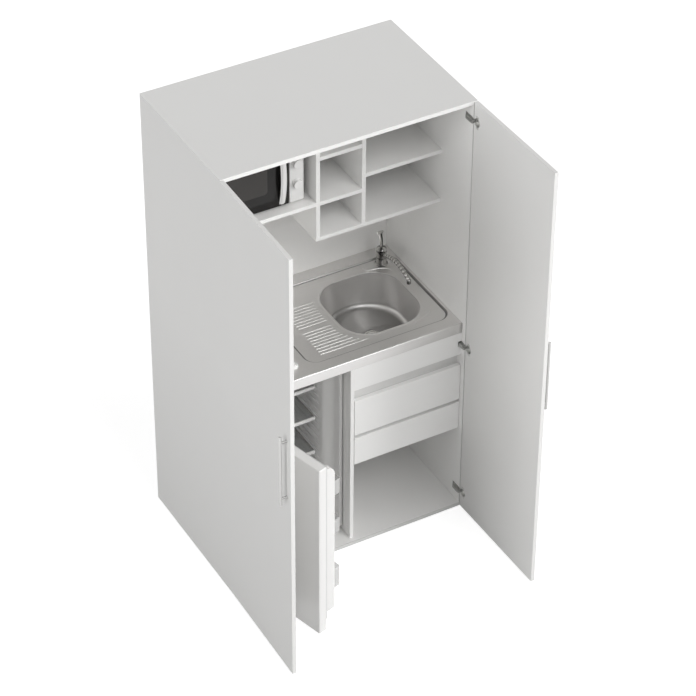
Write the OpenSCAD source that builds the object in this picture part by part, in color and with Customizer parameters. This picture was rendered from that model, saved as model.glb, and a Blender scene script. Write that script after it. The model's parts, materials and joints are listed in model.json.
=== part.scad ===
// Cupboard kitchenette: a tall two-door cabinet that hides a pressed steel sink
// and hob top, a small refrigerator, two drawers, open shelves and a microwave.
// Front faces -Y, +X is to the right, the floor is z = 0 and the origin lies on
// the floor at the middle of the carcass. The doors stand open, as in use.

/* [Carcass] */
// Overall width of the cupboard
carcass_w = 1040; // [1000:1:1200]
// Depth from the front edges of the panels to the wall
carcass_d = 624; // [600:1:680]
// Height to the upper face of the top panel
carcass_h = 1916; // [1880:1:2100]
// Thickness of the carcass panels and shelves
board = 16; // [15:0.5:18]
// Thickness of the back panel
back_t = 8; // [5:0.5:12]
// Void between the back panel and the wall, for pipes
back_void = 12; // [6:1:16]
// Diameter of the dowels that join the panels
dowel_d = 8; // [6:0.5:9]
// Depth of a dowel in the face of a panel
dowel_face = 10; // [6:0.5:12]
// Depth of a dowel in the end of a panel
dowel_end = 20; // [12:1:24]
// Play round a dowel
dowel_play = 0.05; // [0.02:0.01:0.2]

/* [Doors] */
// Thickness of the cupboard doors
door_t = 16; // [15:0.5:19]
// Gap between a closed door and the carcass edges
door_gap = 4; // [4:0.25:6]
// Gap between the two closed doors
door_split = 4; // [2:0.5:8]
// Gap under the doors
door_lift = 4; // [2:0.5:10]
// Gap above the doors, down from the top of the carcass
door_drop = 2; // [0:0.5:6]
// Angle at which both doors stand open
door_open = 91; // [88:0.5:100]
// Distance of the hinge axis from a door's inner face
pivot_in = 6.5; // [6.5:0.25:7]
// Distance of the hinge axis from a door's hinge edge
pivot_edge = 8; // [7.5:0.25:8]

/* [Handles] */
// Diameter of the bar handles
handle_d = 12; // [8:0.5:14]
// Length of the bar handles
handle_len = 312; // [280:1:400]
// Distance between the two posts of a handle
handle_pitch = 256; // [128:1:264]
// Diameter of the handle posts
handle_post_d = 9; // [6:0.5:10]
// Distance from the door face to the axis of the bar
handle_reach = 26; // [22:0.5:36]
// Distance from the free edge of the door to the axis of the bar
handle_edge = 30; // [24:1:60]
// Height of the middle of the handles
handle_z = 982; // [900:1:1100]

/* [Door hinges] */
// Diameter of the hinge cup let into the door
cup_d = 35; // [34:0.5:36]
// Depth of the hinge cup
cup_depth = 12; // [12:0.25:12.5]
// Distance from the door edge to the middle of the cup
cup_edge = 20.5; // [20.5:0.25:21]
// Height of the lowest hinges
hinge_low_z = 83; // [70:1:120]
// Height of the middle hinge above the lower edge of the fascia
hinge_mid_up = 52; // [45:1:65]
// Distance of the highest hinges below the top of the carcass
hinge_top_drop = 80; // [60:1:140]
// Length of a hinge arm behind the front edge of the side panel
arm_len = 46; // [42:1:47]
// Height that a hinge arm stands off the side panel
arm_rise = 13; // [12:0.25:13]
// Width of a hinge arm
arm_w = 14; // [12:0.5:16]
// Diameter of a hinge pin
hinge_pin_d = 3; // [2.5:0.25:3]
// Running play round a hinge pin
hinge_play = 0.05; // [0.02:0.01:0.1]

/* [Shelf unit] */
// Distance of the shelf fronts behind the carcass front
shelf_setback = 207; // [180:1:240]
// Clear width of the microwave bay
microwave_bay_w = 477; // [470:1:500]
// Clear width of the middle cubby holes
cubby_w = 175; // [150:1:200]
// Distance from the top of the carcass down to the underside of the unit
unit_drop = 566; // [540:1:620]
// Distance from the top down to the underside of the microwave shelf
microwave_shelf_drop = 408; // [380:1:430]
// Distance from the top down to the underside of the lower cubby shelf
cubby_low_drop = 409; // [380:1:440]
// Distance from the top down to the underside of the upper cubby shelf
cubby_high_drop = 212; // [180:1:280]
// Distance from the top down to the underside of the right bay shelf
bay_shelf_drop = 346; // [280:1:400]

/* [Base unit] */
// Distance of the base fronts behind the carcass front
base_setback = 24; // [22:0.5:30]
// Clear width of the refrigerator bay
fridge_bay_w = 523; // [521:1:535]
// Height of the fixed front below the worktop
fascia_h = 105; // [90:1:120]
// Height of the grip recess below the fixed front
grip_h = 52; // [44:1:56]
// Depth of the grip recess behind the faces of the fronts
grip_depth = 30; // [26:0.5:40]
// Height of the upper drawer front
upper_front_h = 169; // [160:1:190]
// Height of the lower drawer front
lower_front_h = 129; // [120:1:150]
// Gap between the two drawer fronts
front_split = 14; // [8:1:16]
// Gap at the sides of the drawer fronts
front_side_gap = 2; // [1:0.5:4]
// Depth of the drawer boxes
drawer_depth = 424; // [380:1:430]
// Thickness of the drawer sides
drawer_wall = 12; // [9:0.5:14]
// Thickness of the drawer bottoms
drawer_floor = 5; // [3:0.5:8]
// Height of the upper drawer box
upper_box_h = 108; // [80:1:112]
// Height of the lower drawer box
lower_box_h = 84; // [60:1:96]
// Distance of the drawer boxes above the lower edge of their fronts
box_lift = 10; // [6:1:14]
// Width left for a drawer runner at each side
runner_w = 13; // [12.5:0.25:16]
// Height of a drawer runner
runner_h = 36; // [24:1:45]

/* [Worktop] */
// Height of the worktop
worktop_z = 900; // [898:1:930]
// Height of the folded front edge
worktop_edge = 45; // [38:1:46]
// Thickness of the steel sheet
sheet_t = 1.5; // [1:0.1:2]
// Play between the worktop and the cabinet sides
worktop_play = 0.5; // [0.2:0.1:1]
// Height of the timber frame under the sheet
frame_h = 40; // [30:1:43]
// Width of the timber frame at the sides
frame_side_w = 12; // [8:1:13]
// Width of the timber frame at the front and the back
frame_rail_w = 18; // [12:1:22]
// Depth of the pressed recess round sink and drainer
recess_depth = 6; // [4:0.5:10]
// Width of the pressed recess
recess_w = 615; // [590:1:620]
// Corner radius of the pressed recess
recess_r = 50; // [30:1:70]
// Flat margin in front of the recess
recess_front = 54; // [50:1:70]
// Flat margin behind the recess
recess_back = 58; // [56:1:80]
// Flat margin at the right of the recess
recess_side = 14; // [14:0.5:20]

/* [Sink] */
// Width of the bowl
bowl_w = 336; // [320:1:344]
// Depth of the bowl from front to back
bowl_d = 354; // [330:1:360]
// Corner radius of the bowl
bowl_r = 118; // [90:1:130]
// Distance from the middle of the bowl to the right cabinet side
bowl_right = 241; // [230:1:260]
// Distance from the middle of the bowl to the front edge of the worktop
bowl_front = 286; // [270:1:292]
// Depth of the bowl below the recess
bowl_depth = 145; // [120:1:148]
// Radius between the wall and the floor of the bowl
bowl_floor_r = 42; // [25:1:60]
// Wall thickness of the bowl
bowl_t = 1.2; // [1:0.1:2]
// Number of places for drainer ribs
rib_places = 18; // [10:1:19]
// Place that is left out of the row of ribs
rib_skip = 10; // [1:1:17]
// Distance from one drainer rib to the next
rib_pitch = 17.5; // [14:0.25:18]
// Radius of a drainer rib
rib_r = 5; // [4:0.25:6]
// Height of a drainer rib above the recess
rib_rise = 2; // [1:0.25:3]
// Margin between the ribs and the front and left edges of the recess
rib_margin = [68, 44]; // [30:1:90]
// Distance between the ribs and the bowl
rib_clear = 27; // [16:1:40]

/* [Waste] */
// Distance of the drain in front of the middle of the bowl
drain_forward = 25; // [0:1:30]
// Radius of the hole in the bowl
drain_hole_r = 25; // [22:0.5:30]
// Radius of the drain flange
drain_flange_r = 35; // [32:0.5:44]
// Radius of the waste pipes
waste_r = 20; // [18:0.5:22]
// Radius of the bottle trap
trap_r = 32; // [28:0.5:36]
// Height of the bottle trap
trap_h = 150; // [120:1:180]
// Distance from the bottle trap to the back panel
trap_back = 72; // [50:1:84]
// Length of the drain tube below the bowl
drain_tube = 38; // [36:1:44]
// Distance from the end of the drain tube down to the outlet pipe
outlet_drop = 84; // [70:1:100]
// Distance that the strainer basket lifts
basket_lift = 8; // [4:1:12]

/* [Tap] */
// Distance of the tap from the right cabinet side
tap_right = 76; // [60:1:90]
// Distance of the tap from the back panel
tap_back = 94; // [80:1:100]
// Radius of the tap body
tap_r = 21; // [19:0.5:24]
// Radius of the neck that the spout turns on
tap_neck_r = 16; // [12:0.5:17]
// Height of the tap body under the spout
tap_body_h = 34; // [28:1:45]
// Height of the turning collar of the spout
collar_h = 29; // [24:1:36]
// Running play of the spout and the cap
tap_play = 0.05; // [0.02:0.01:0.1]
// Radius of the arc of the spout
spout_arc_r = 187; // [160:1:240]
// Radius of the spout pipe
spout_r = 7.5; // [6:0.25:9]
// Angle of the arc in front of its crown
spout_fall = 29.5; // [20:0.5:36]
// Angle of the arc behind its crown
spout_climb = 33; // [28:0.5:34]
// Number of beads on the spout
bead_count = 11; // [4:1:16]
// Height of a bead above the pipe
bead_rise = 1.5; // [0.5:0.25:3]
// Length of a bead
bead_len = 6; // [3:0.5:8]
// Height of the cap above the collar
cap_h = 17; // [14:0.5:24]
// Length of the lever blade
lever_len = 78; // [60:1:90]
// Width of the lever blade at its tip
lever_tip_w = 36; // [20:1:44]
// Thickness of the lever blade
lever_t = 5; // [3:0.5:7]
// Lean of the lever to the back
lever_lean = 12; // [0:1:25]

/* [Hob] */
// Radius of the rear hotplate
rear_plate_r = 90; // [75:1:95]
// Radius of the front hotplate
front_plate_r = 72.5; // [60:1:80]
// Distance of the hotplates from the left cabinet side
plate_left = 180; // [150:1:185]
// Distance of the front hotplate from the worktop edge
front_plate_y = 172; // [160:1:180]
// Distance of the rear hotplate from the worktop edge
rear_plate_y = 398; // [380:1:410]
// Height of the hotplates above the worktop
plate_rise = 8; // [4:0.5:12]
// Diameter of the hob knobs
hob_knob_d = 40; // [30:1:44]
// Height of the hob knobs
hob_knob_h = 17; // [12:0.5:24]
// Distance of the hob knobs from the worktop edge
hob_knob_y = 76; // [60:1:80]
// Distance from the left cabinet side to the two knobs
hob_knob_x = [259, 319]; // [240:1:340]
// Height of the tray under the hob
hob_tray_h = 36; // [28:1:40]

/* [Refrigerator] */
// Width of the refrigerator
fridge_w = 498; // [480:1:499]
// Height of the refrigerator casing
fridge_h = 806; // [780:1:807]
// Depth of the refrigerator casing
fridge_d = 480; // [460:1:500]
// Height of the refrigerator feet
fridge_foot = 24; // [16:1:25]
// Gap between the refrigerator and the dividing panel
fridge_side_gap = 4; // [2:0.5:8]
// Distance of the casing behind the base fronts
fridge_setback = 56; // [56:0.5:64]
// Thickness of the refrigerator door slab
fridge_door_t = 38; // [34:0.5:40]
// Gap between the door slab and the casing
fridge_seal_gap = 8; // [8:0.25:9]
// Angle at which the refrigerator door stands open
fridge_open = 74.5; // [60:0.1:76]
// Distance of the door pin from the hinge edge of the slab
fridge_pin_side = 15; // [14:0.25:15]
// Distance of the door pin in front of the casing
fridge_pin_front = 25; // [24:0.5:26]
// Width of the casing rim at the opening
fridge_rim = 12; // [11:0.5:18]
// Width of the casing rim at the hinge side
fridge_hinge_rim = 18; // [17:0.5:24]
// Thickness of the insulated walls behind the mouth
fridge_wall = 40; // [36:1:48]
// Thickness of the inner lining
lining_t = 2; // [1.5:0.25:3]
// Height of the sole of the casing below the mouth
fridge_sole = 58; // [50:1:70]
// Height of the head of the casing above the mouth
fridge_head = 16; // [14:1:30]
// Thickness of the back wall of the casing
fridge_back = 60; // [50:1:70]
// Depth of the compressor niche
niche_d = 132; // [130:1:140]
// Height of the compressor niche
niche_h = 180; // [150:1:190]
// Thickness of the wall round the compressor niche
niche_wall = 30; // [24:1:34]
// Width of a dyke of the door lining
dyke_w = 28; // [20:1:32]
// Radius of the upper corner of the dykes
dyke_r = 34; // [10:1:40]
// Depth of the wide mouth that takes the door lining
mouth_depth = 62; // [60:1:68]
// Distance that the door lining stands into the mouth
dyke_depth = 58; // [30:1:58]
// Height of the glass shelves above the floor
fridge_shelf_z = [343, 512, 664]; // [300:1:700]
// Distance of the glass shelves behind the casing front
fridge_shelf_front = 130; // [130:1:150]
// Depth of the thermostat dial behind the casing front
dial_in = 190; // [150:1:260]
// Drop of the thermostat dial below the roof of the lining
dial_drop = 46; // [30:1:80]
// Diameter of the compressor
compressor_d = 120; // [90:1:124]
// Height of the straight part of the compressor
compressor_h = 80; // [50:1:100]
// Distance from one wall rib to the next in the refrigerator
wall_rib_pitch = 34; // [24:1:50]
// Number of wall ribs at each side
wall_rib_count = 14; // [6:1:15]
// Height of the wall ribs
wall_rib_rise = 7; // [4:0.5:9]
// Height of the door racks above the floor
rack_z = [150, 420, 610]; // [120:1:640]
// Height of the rims of the door racks
rack_h = [96, 70, 70]; // [50:1:100]
// Depth of the door racks
rack_d = 63; // [40:1:63]

/* [Microwave] */
// Width of the microwave
microwave_w = 436; // [420:1:440]
// Height of the microwave casing
microwave_h = 248; // [235:1:270]
// Depth of the microwave casing behind its front
microwave_d = 311; // [290:1:320]
// Distance of the microwave from the left cabinet side
microwave_left = 9; // [9:0.5:20]
// Distance of the microwave front behind the shelf fronts
microwave_setback = 34; // [20:1:40]
// Height of the microwave feet
microwave_foot = 10; // [6:0.5:14]
// Thickness of the front frame, with door and panel
microwave_front_t = 26; // [24:0.5:28]
// Width of the control panel
panel_w = 59; // [50:1:75]
// Gap between the door and the control panel
panel_gap = 3; // [2:0.5:4]
// Diameter of the microwave knobs
knob_d = 40; // [30:1:44]
// Length of the microwave knobs
knob_len = 17; // [12:0.5:22]
// Heights of the knobs above the lower edge of the casing
knob_z = [80, 169]; // [60:1:190]
// Width of the cooking chamber
chamber_w = 316; // [290:1:320]
// Height of the cooking chamber
chamber_h = 196; // [180:1:205]
// Depth of the cooking chamber
chamber_d = 290; // [260:1:300]
// Diameter of the turntable
turntable_d = 245; // [220:1:270]
// Distance that the door handle stands off
mw_handle_reach = 22; // [16:0.5:24]
// Diameter of the shafts of all knobs
shaft_d = 6; // [5:0.5:8]
// Running play round the shafts
shaft_play = 0.05; // [0.03:0.01:0.1]

/* [Hidden] */
$fn = 64;
eps = 0.01;

white_board = [0.86, 0.86, 0.85];
white_enamel = [0.90, 0.90, 0.89];
steel = [0.66, 0.67, 0.66];
chrome = [0.75, 0.76, 0.77];
dark_plate = [0.13, 0.13, 0.14];
clear_glass = [0.55, 0.62, 0.62];

// Carcass planes
half_w = carcass_w / 2;
front_y = -carcass_d / 2;
wall_y = carcass_d / 2;
in_x = half_w - board;
in_top = carcass_h - board;
back_y = wall_y - back_void - back_t;

// Base unit planes, from the worktop down
base_y = front_y + base_setback;
divider_x = fridge_bay_w - in_x;
bay_x = divider_x + board;
worktop_low = worktop_z - worktop_edge;
fascia_z = worktop_low - fascia_h;
upper_front_top = fascia_z - grip_h;
upper_front_z = upper_front_top - upper_front_h;
lower_front_top = upper_front_z - front_split;
lower_front_z = lower_front_top - lower_front_h;
grip_lap = 8;
grip_t = 1.5;

// Shelf unit planes, hung from the top panel
unit_base_z = carcass_h - unit_drop;
microwave_shelf_z = carcass_h - microwave_shelf_drop;
cubby_low_z = carcass_h - cubby_low_drop;
cubby_high_z = carcass_h - cubby_high_drop;
bay_shelf_z = carcass_h - bay_shelf_drop;
unit_y = front_y + shelf_setback;
cubby_x = microwave_bay_w - in_x + board;
right_bay_x = cubby_x + cubby_w + board;

// Door hinge axes
pivot_x = half_w - pivot_edge;
pivot_y = front_y - door_gap - pivot_in;
door_w = half_w - door_split / 2;
hinge_mid_z = fascia_z + hinge_mid_up;
hinge_zs = [hinge_low_z, hinge_mid_z, carcass_h - hinge_top_drop];
cup_wall = 1;
cup_play = 0.1;
arm_notch = 2;
eye_w = 7;
ear_t = 1.5;

// Sink planes
deck_z = worktop_z - recess_depth;
recess_x = in_x - recess_side - recess_w / 2;
recess_len = back_y - base_y - recess_front - recess_back;
recess_y = base_y + recess_front + recess_len / 2;
bowl_x = in_x - bowl_right;
bowl_y = base_y + bowl_front;
rail_gap = 0.2;
bowl_z = deck_z - bowl_depth;
drain_y = bowl_y - drain_forward;
tube_wall = 2;
tube_low = bowl_z - drain_tube;

// Tap planes
tap_x = in_x - tap_right;
tap_y = back_y - tap_back;
collar_z = deck_z + tap_body_h;
cap_z = collar_z + collar_h;
lever_z = cap_z + cap_h - 5;

// Hob planes
plate_x = plate_left - in_x;
knob_sink = 12;

// Refrigerator planes
casing_x1 = divider_x - fridge_side_gap;
casing_x0 = casing_x1 - fridge_w;
casing_y = base_y + fridge_setback;
casing_z = board + fridge_foot;
casing_top = casing_z + fridge_h;
fridge_pin_x = casing_x0 + fridge_pin_side;
fridge_pin_y = casing_y - fridge_pin_front;
slab_y1 = casing_y - fridge_seal_gap;
slab_y0 = slab_y1 - fridge_door_t;
slab_z0 = casing_z + 1;
slab_z1 = casing_top - 2;
mouth_x0 = casing_x0 + fridge_hinge_rim;
mouth_x1 = casing_x1 - fridge_rim;
mouth_z0 = casing_z + fridge_sole;
mouth_z1 = casing_top - fridge_head;
cave_x0 = casing_x0 + fridge_wall;
cave_x1 = casing_x1 - fridge_wall;
cave_z0 = mouth_z0 + 14;
cave_z1 = mouth_z1 - 18;
cave_y1 = casing_y + fridge_d - fridge_back;
niche_y = casing_y + fridge_d - niche_d;
niche_top = casing_z + niche_h;
step_y = niche_y - niche_wall;
step_z = niche_top + niche_wall - 10;
dyke_x0 = mouth_x0 + 9;
dyke_x1 = mouth_x1 - 11;
pin_r = 4;
pin_len = 14;
bracket_t = 3;
rack_wall = 2.5;
dial_y = casing_y + dial_in;
dial_z = cave_z1 - dial_drop;

// Microwave planes
mw_x0 = microwave_left - in_x;
mw_x1 = mw_x0 + microwave_w;
mw_y = unit_y + microwave_setback;
mw_z0 = microwave_shelf_z + board + microwave_foot;
mw_z1 = mw_z0 + microwave_h;
mw_case_y = mw_y + microwave_front_t + 3;
mw_door_x1 = mw_x1 - panel_w - panel_gap;
mw_pin_x = mw_x0 + 8;
mw_pin_y = mw_y + microwave_front_t / 2;
chamber_x = (mw_x0 + mw_door_x1) / 2;
chamber_z = mw_z0 + 26;
panel_x = mw_x1 - panel_w / 2;

// Outline helpers -----------------------------------------------------------

// Rectangle with round corners, centred
module round_rect(w, d, r) {
    square([w - 2 * r, d], center = true);
    square([w, d - 2 * r], center = true);
    for (x = [-1, 1], y = [-1, 1])
        translate([x * (w / 2 - r), y * (d / 2 - r)]) circle(r);
}

// Turns closed geometry about an upright axis at x, y
module turned(x, y, angle) {
    translate([x, y, 0]) rotate([0, 0, angle]) translate([-x, -y, 0]) children();
}

// A box from its lowest to its highest corner
module slab(a, b) {
    translate(a) cube(b - a);
}

// Dowels --------------------------------------------------------------------
// Each entry is a point on the joint plane and the direction of the board end.

function end_pair(x, z, way, shift) = [
    for (y = [unit_y + 70 + shift, back_y - 70 - shift]) [[x, y, z], [way, 0, 0]]
];

DOWELS = concat(
    [for (s = [-1, 1], y = [front_y + 60, wall_y - 60])
        [[s * in_x, y, board / 2], [-s, 0, 0]]],
    [for (s = [-1, 1], y = [front_y + 60, wall_y - 60])
        [[s * (half_w - board / 2), y, in_top], [0, 0, -1]]],
    end_pair(-in_x, microwave_shelf_z + board / 2, 1, 0),
    end_pair(cubby_x - board, microwave_shelf_z + board / 2, -1, 0),
    end_pair(cubby_x, unit_base_z + board / 2, 1, 0),
    end_pair(in_x, unit_base_z + board / 2, -1, 0),
    end_pair(cubby_x, cubby_low_z + board / 2, 1, 24),
    end_pair(cubby_x + cubby_w, cubby_low_z + board / 2, -1, 24),
    end_pair(cubby_x, cubby_high_z + board / 2, 1, 24),
    end_pair(cubby_x + cubby_w, cubby_high_z + board / 2, -1, 24),
    end_pair(right_bay_x, bay_shelf_z + board / 2, 1, 0),
    end_pair(in_x, bay_shelf_z + board / 2, -1, 0)
);

// One dowel from the panel face into the board end, grown by a play
module dowel(entry, play) {
    way = entry[1];
    tilt = way.z != 0 ? [180, 0, 0] : [0, 90 * way.x, 0];
    translate(entry[0]) rotate(tilt)
        translate([0, 0, -dowel_face - play])
            cylinder(r = dowel_d / 2 + play, h = dowel_face + dowel_end + 2 * play, $fn = 32);
}

module drilled() {
    difference() {
        children();
        for (entry = DOWELS) dowel(entry, dowel_play);
    }
}

module panel_dowels() {
    color([0.78, 0.66, 0.48]) for (entry = DOWELS) dowel(entry, 0);
}

// Carcass -------------------------------------------------------------------

module side_left() {
    color(white_board) drilled()
        slab([-half_w, front_y, 0], [-in_x, wall_y, in_top]);
}

module side_right() {
    color(white_board) drilled()
        slab([in_x, front_y, 0], [half_w, wall_y, in_top]);
}

module top_panel() {
    color(white_board) drilled()
        slab([-half_w, front_y, in_top], [half_w, wall_y, carcass_h]);
}

module bottom_panel() {
    color(white_board) drilled()
        slab([-in_x, front_y, 0], [in_x, wall_y, board]);
}

module back_panel() {
    color(white_board) difference() {
        slab([-in_x, back_y, board], [in_x, back_y + back_t, in_top]);
        translate([bowl_x, back_y - 1, tube_low - outlet_drop]) rotate([-90, 0, 0])
            cylinder(r = waste_r + 1.5, h = back_t + 2);
    }
}

module divider() {
    color(white_board)
        slab([divider_x, base_y, board], [bay_x, back_y, worktop_low]);
}

// Shelf unit ----------------------------------------------------------------

module microwave_shelf() {
    color(white_board) drilled()
        slab([-in_x, unit_y, microwave_shelf_z],
             [cubby_x - board, back_y, microwave_shelf_z + board]);
}

module shelf_divider_left() {
    color(white_board) drilled()
        slab([cubby_x - board, unit_y, unit_base_z], [cubby_x, back_y, in_top]);
}

module shelf_divider_right() {
    color(white_board) drilled()
        slab([cubby_x + cubby_w, unit_y, unit_base_z + board],
             [right_bay_x, back_y, in_top]);
}

module shelf_unit_base() {
    color(white_board) drilled()
        slab([cubby_x, unit_y, unit_base_z], [in_x, back_y, unit_base_z + board]);
}

module inner_shelves() {
    color(white_board) drilled() {
        for (z = [cubby_low_z, cubby_high_z])
            slab([cubby_x, unit_y, z], [cubby_x + cubby_w, back_y, z + board]);
        slab([right_bay_x, unit_y, bay_shelf_z], [in_x, back_y, bay_shelf_z + board]);
    }
}

// Doors ---------------------------------------------------------------------

// Left door in its closed place, with the pockets for the hinge cups
module closed_door() {
    difference() {
        slab([-half_w, front_y - door_gap - door_t, door_lift],
             [-half_w + door_w, front_y - door_gap, carcass_h - door_drop]);
        for (z = hinge_zs)
            translate([cup_edge - half_w, front_y - door_gap + 1, z]) rotate([90, 0, 0])
                cylinder(r = cup_d / 2, h = cup_depth + 1);
    }
}

// Hinge cups of the left door: a flanged steel cup in each pocket, with the
// pin that the door turns on held between two ears
module closed_cups() {
    floor_y = front_y - door_gap - cup_depth + cup_play;
    ear = hinge_pin_d / 2 + 1;
    for (z = hinge_zs) translate([-pivot_x, 0, z]) {
        translate([0, pivot_y, -eye_w / 2 - 0.1 - ear_t])
            cylinder(r = hinge_pin_d / 2, h = eye_w + 0.2 + 2 * ear_t, $fn = 32);
        for (side = [0, 1]) mirror([0, 0, side])
            slab([-ear, floor_y, eye_w / 2 + 0.1], [ear, pivot_y + ear, eye_w / 2 + 0.1 + ear_t]);
    }
    for (z = hinge_zs) translate([cup_edge - half_w, front_y - door_gap, z]) {
        difference() {
            union() {
                rotate([90, 0, 0]) cylinder(r = cup_d / 2 - cup_play, h = cup_depth - cup_play);
                translate([0, cup_wall, 0]) rotate([90, 0, 0])
                    cylinder(r = cup_d / 2 - cup_play, h = cup_wall);
                translate([-5, 0, -27]) cube([14, cup_wall, 54]);
            }
            translate([0, cup_wall + 1, 0]) rotate([90, 0, 0])
                cylinder(r = cup_d / 2 - cup_play - cup_wall, h = cup_depth - cup_play + 1);
        }
    }
}

// Bar handle of the left door
module closed_handle() {
    bar_x = -half_w + door_w - handle_edge;
    face = front_y - door_gap - door_t;
    translate([bar_x, face - handle_reach, handle_z - handle_len / 2])
        cylinder(r = handle_d / 2, h = handle_len, $fn = 48);
    for (s = [-1, 1])
        translate([bar_x, face, handle_z + s * handle_pitch / 2]) rotate([90, 0, 0])
            cylinder(r = handle_post_d / 2, h = handle_reach, $fn = 48);
}

module at_left_door() {
    turned(-pivot_x, pivot_y, -door_open) children();
}

module at_right_door() {
    mirror([1, 0, 0]) at_left_door() children();
}

module left_door() { color(white_board) at_left_door() closed_door(); }

module right_door() { color(white_board) at_right_door() closed_door(); }

module left_handle() { color(steel) at_left_door() closed_handle(); }

module right_handle() { color(steel) at_right_door() closed_handle(); }

module left_hinge_cups() { color(chrome) at_left_door() closed_cups(); }

module right_hinge_cups() { color(chrome) at_right_door() closed_cups(); }

// One hinge arm on the left side panel: base plate, arm, the nose that reaches
// into the cup when the door is closed, and the eye round the pin
module hinge_arm(z) {
    eye_x = pivot_x - in_x;
    eye_y = pivot_y - front_y;
    translate([-in_x, front_y, z]) {
        translate([0, 4, -arm_w / 2 - 3]) cube([2, arm_len, arm_w + 6]);
        translate([0, 0, -arm_w / 2]) cube([5, arm_len - 1, arm_w]);
        translate([0, 0, -arm_w / 2]) cube([arm_rise, 34, arm_w]);
        translate([arm_rise - 9, eye_y - 1.5, -arm_w / 2 + 2])
            cube([9, 0.1 - eye_y + 1.5, arm_w - 4]);
        difference() {
            union() {
                translate([-eye_x, eye_y, -eye_w / 2])
                    cylinder(r = hinge_pin_d / 2 + 1.5, h = eye_w, $fn = 32);
                slab([-eye_x, eye_y - 1.5, -eye_w / 2], [arm_rise - 8, eye_y + 1.5, eye_w / 2]);
            }
            translate([-eye_x, eye_y, -eye_w])
                cylinder(r = hinge_pin_d / 2 + hinge_play, h = 2 * eye_w, $fn = 32);
        }
    }
}

module hinge_arms() {
    color(chrome) for (s = [0, 1]) mirror([s, 0, 0])
        for (z = hinge_zs) hinge_arm(z);
}

// Worktop -------------------------------------------------------------------

// Outline of the bowl, grown by a margin
module bowl_outline(grow) {
    round_rect(bowl_w + 2 * grow, bowl_d + 2 * grow, bowl_r + grow);
}

// Left side of the bowl at a distance dy from its middle, with the rib margin
function bowl_edge(dy) =
    let (straight = bowl_d / 2 - bowl_r,
         r = bowl_r + rib_clear,
         over = max(0, abs(dy) - straight),
         reach = over < r ? sqrt(r * r - over * over) : 0)
    bowl_x - bowl_w / 2 + bowl_r - reach;

// Pressed ribs of the drainer, round bars that show above the deck only
module drainer_ribs() {
    rib_x = recess_x - recess_w / 2 + rib_margin[0];
    first_y = base_y + recess_front + rib_margin[1];
    intersection() {
        for (i = [0 : rib_places - 1]) if (i != rib_skip - 1) {
            y = first_y + i * rib_pitch;
            translate([rib_x, y, deck_z + rib_rise - rib_r]) rotate([0, 90, 0])
                cylinder(r = rib_r, h = bowl_edge(y - bowl_y) - rib_x, $fn = 24);
        }
        slab([rib_x - 1, base_y, deck_z - sheet_t], [bowl_x, back_y, worktop_z]);
    }
}

module steel_worktop() {
    color(steel) {
        difference() {
            union() {
                slab([-in_x + worktop_play, base_y, worktop_z - sheet_t],
                     [in_x - worktop_play, back_y, worktop_z]);
                slab([-in_x + worktop_play, base_y, worktop_low],
                     [in_x - worktop_play, base_y + sheet_t, worktop_z]);
                translate([recess_x, recess_y, deck_z - sheet_t])
                    linear_extrude(recess_depth + sheet_t)
                        round_rect(recess_w + 2 * sheet_t, recess_len + 2 * sheet_t,
                                   recess_r + sheet_t);
            }
            translate([recess_x, recess_y, deck_z]) linear_extrude(recess_depth + 1)
                round_rect(recess_w, recess_len, recess_r);
            translate([bowl_x, bowl_y, deck_z - 5]) linear_extrude(10) bowl_outline(0);
            translate([tap_x, tap_y, deck_z - 5]) cylinder(r = tap_neck_r + 0.5, h = 10);
            for (p = [[front_plate_y, front_plate_r], [rear_plate_y, rear_plate_r]])
                translate([plate_x, base_y + p[0], worktop_z - 5])
                    cylinder(r = p[1] - 4, h = 10, $fn = 96);
            for (x = hob_knob_x)
                translate([x - in_x, base_y + hob_knob_y, worktop_z - 5])
                    cylinder(r = shaft_d / 2 + 1, h = 10, $fn = 32);
        }
        drainer_ribs();
    }
}

// Timber rails that carry the sheet, one at each side and two across
module worktop_frame() {
    top = worktop_z - sheet_t;
    y0 = base_y + sheet_t;
    color([0.80, 0.70, 0.54]) {
        for (y = [y0, back_y - frame_rail_w])
            slab([-in_x, y, top - frame_h], [in_x, y + frame_rail_w, top]);
        for (s = [0, 1]) mirror([s, 0, 0])
            slab([-in_x, y0 + frame_rail_w + rail_gap, top - frame_h],
                 [-in_x + frame_side_w, back_y - frame_rail_w - rail_gap, top]);
    }
}

// Section of the bowl: upright walls and a round floor edge
module bowl_section(half, wall, top) {
    r = bowl_floor_r + wall;
    low = bowl_z - wall;
    translate([-half, low + r]) square([2 * half, top - low - r]);
    translate([-half + r, low]) square([2 * half - 2 * r, top - low]);
    for (side = [-1, 1]) translate([side * (half - r), low + r]) circle(r);
}

// Solid inside of the bowl, grown outwards by a wall
module bowl_form(wall, top) {
    across = bowl_w - 2 * bowl_r;
    along = bowl_d - 2 * bowl_r;
    for (x = [-0.5, 0.5], y = [-0.5, 0.5]) translate([x * across, y * along, 0])
        rotate_extrude() intersection() {
            bowl_section(bowl_r + wall, wall, top);
            translate([0, bowl_z - 10]) square([bowl_r + 10, bowl_depth + 20]);
        }
    rotate([90, 0, 0]) linear_extrude(along, center = true)
        bowl_section(bowl_w / 2 + wall, wall, top);
    rotate([90, 0, 90]) linear_extrude(across, center = true)
        bowl_section(bowl_d / 2 + wall, wall, top);
}

module sink_bowl() {
    rim = deck_z - sheet_t;
    color(steel) translate([bowl_x, bowl_y, 0]) difference() {
        bowl_form(bowl_t, rim);
        bowl_form(0, rim + 2);
        translate([0, -drain_forward, bowl_z - 5]) cylinder(r = drain_hole_r, h = 10);
    }
}

// Waste ---------------------------------------------------------------------

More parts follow.
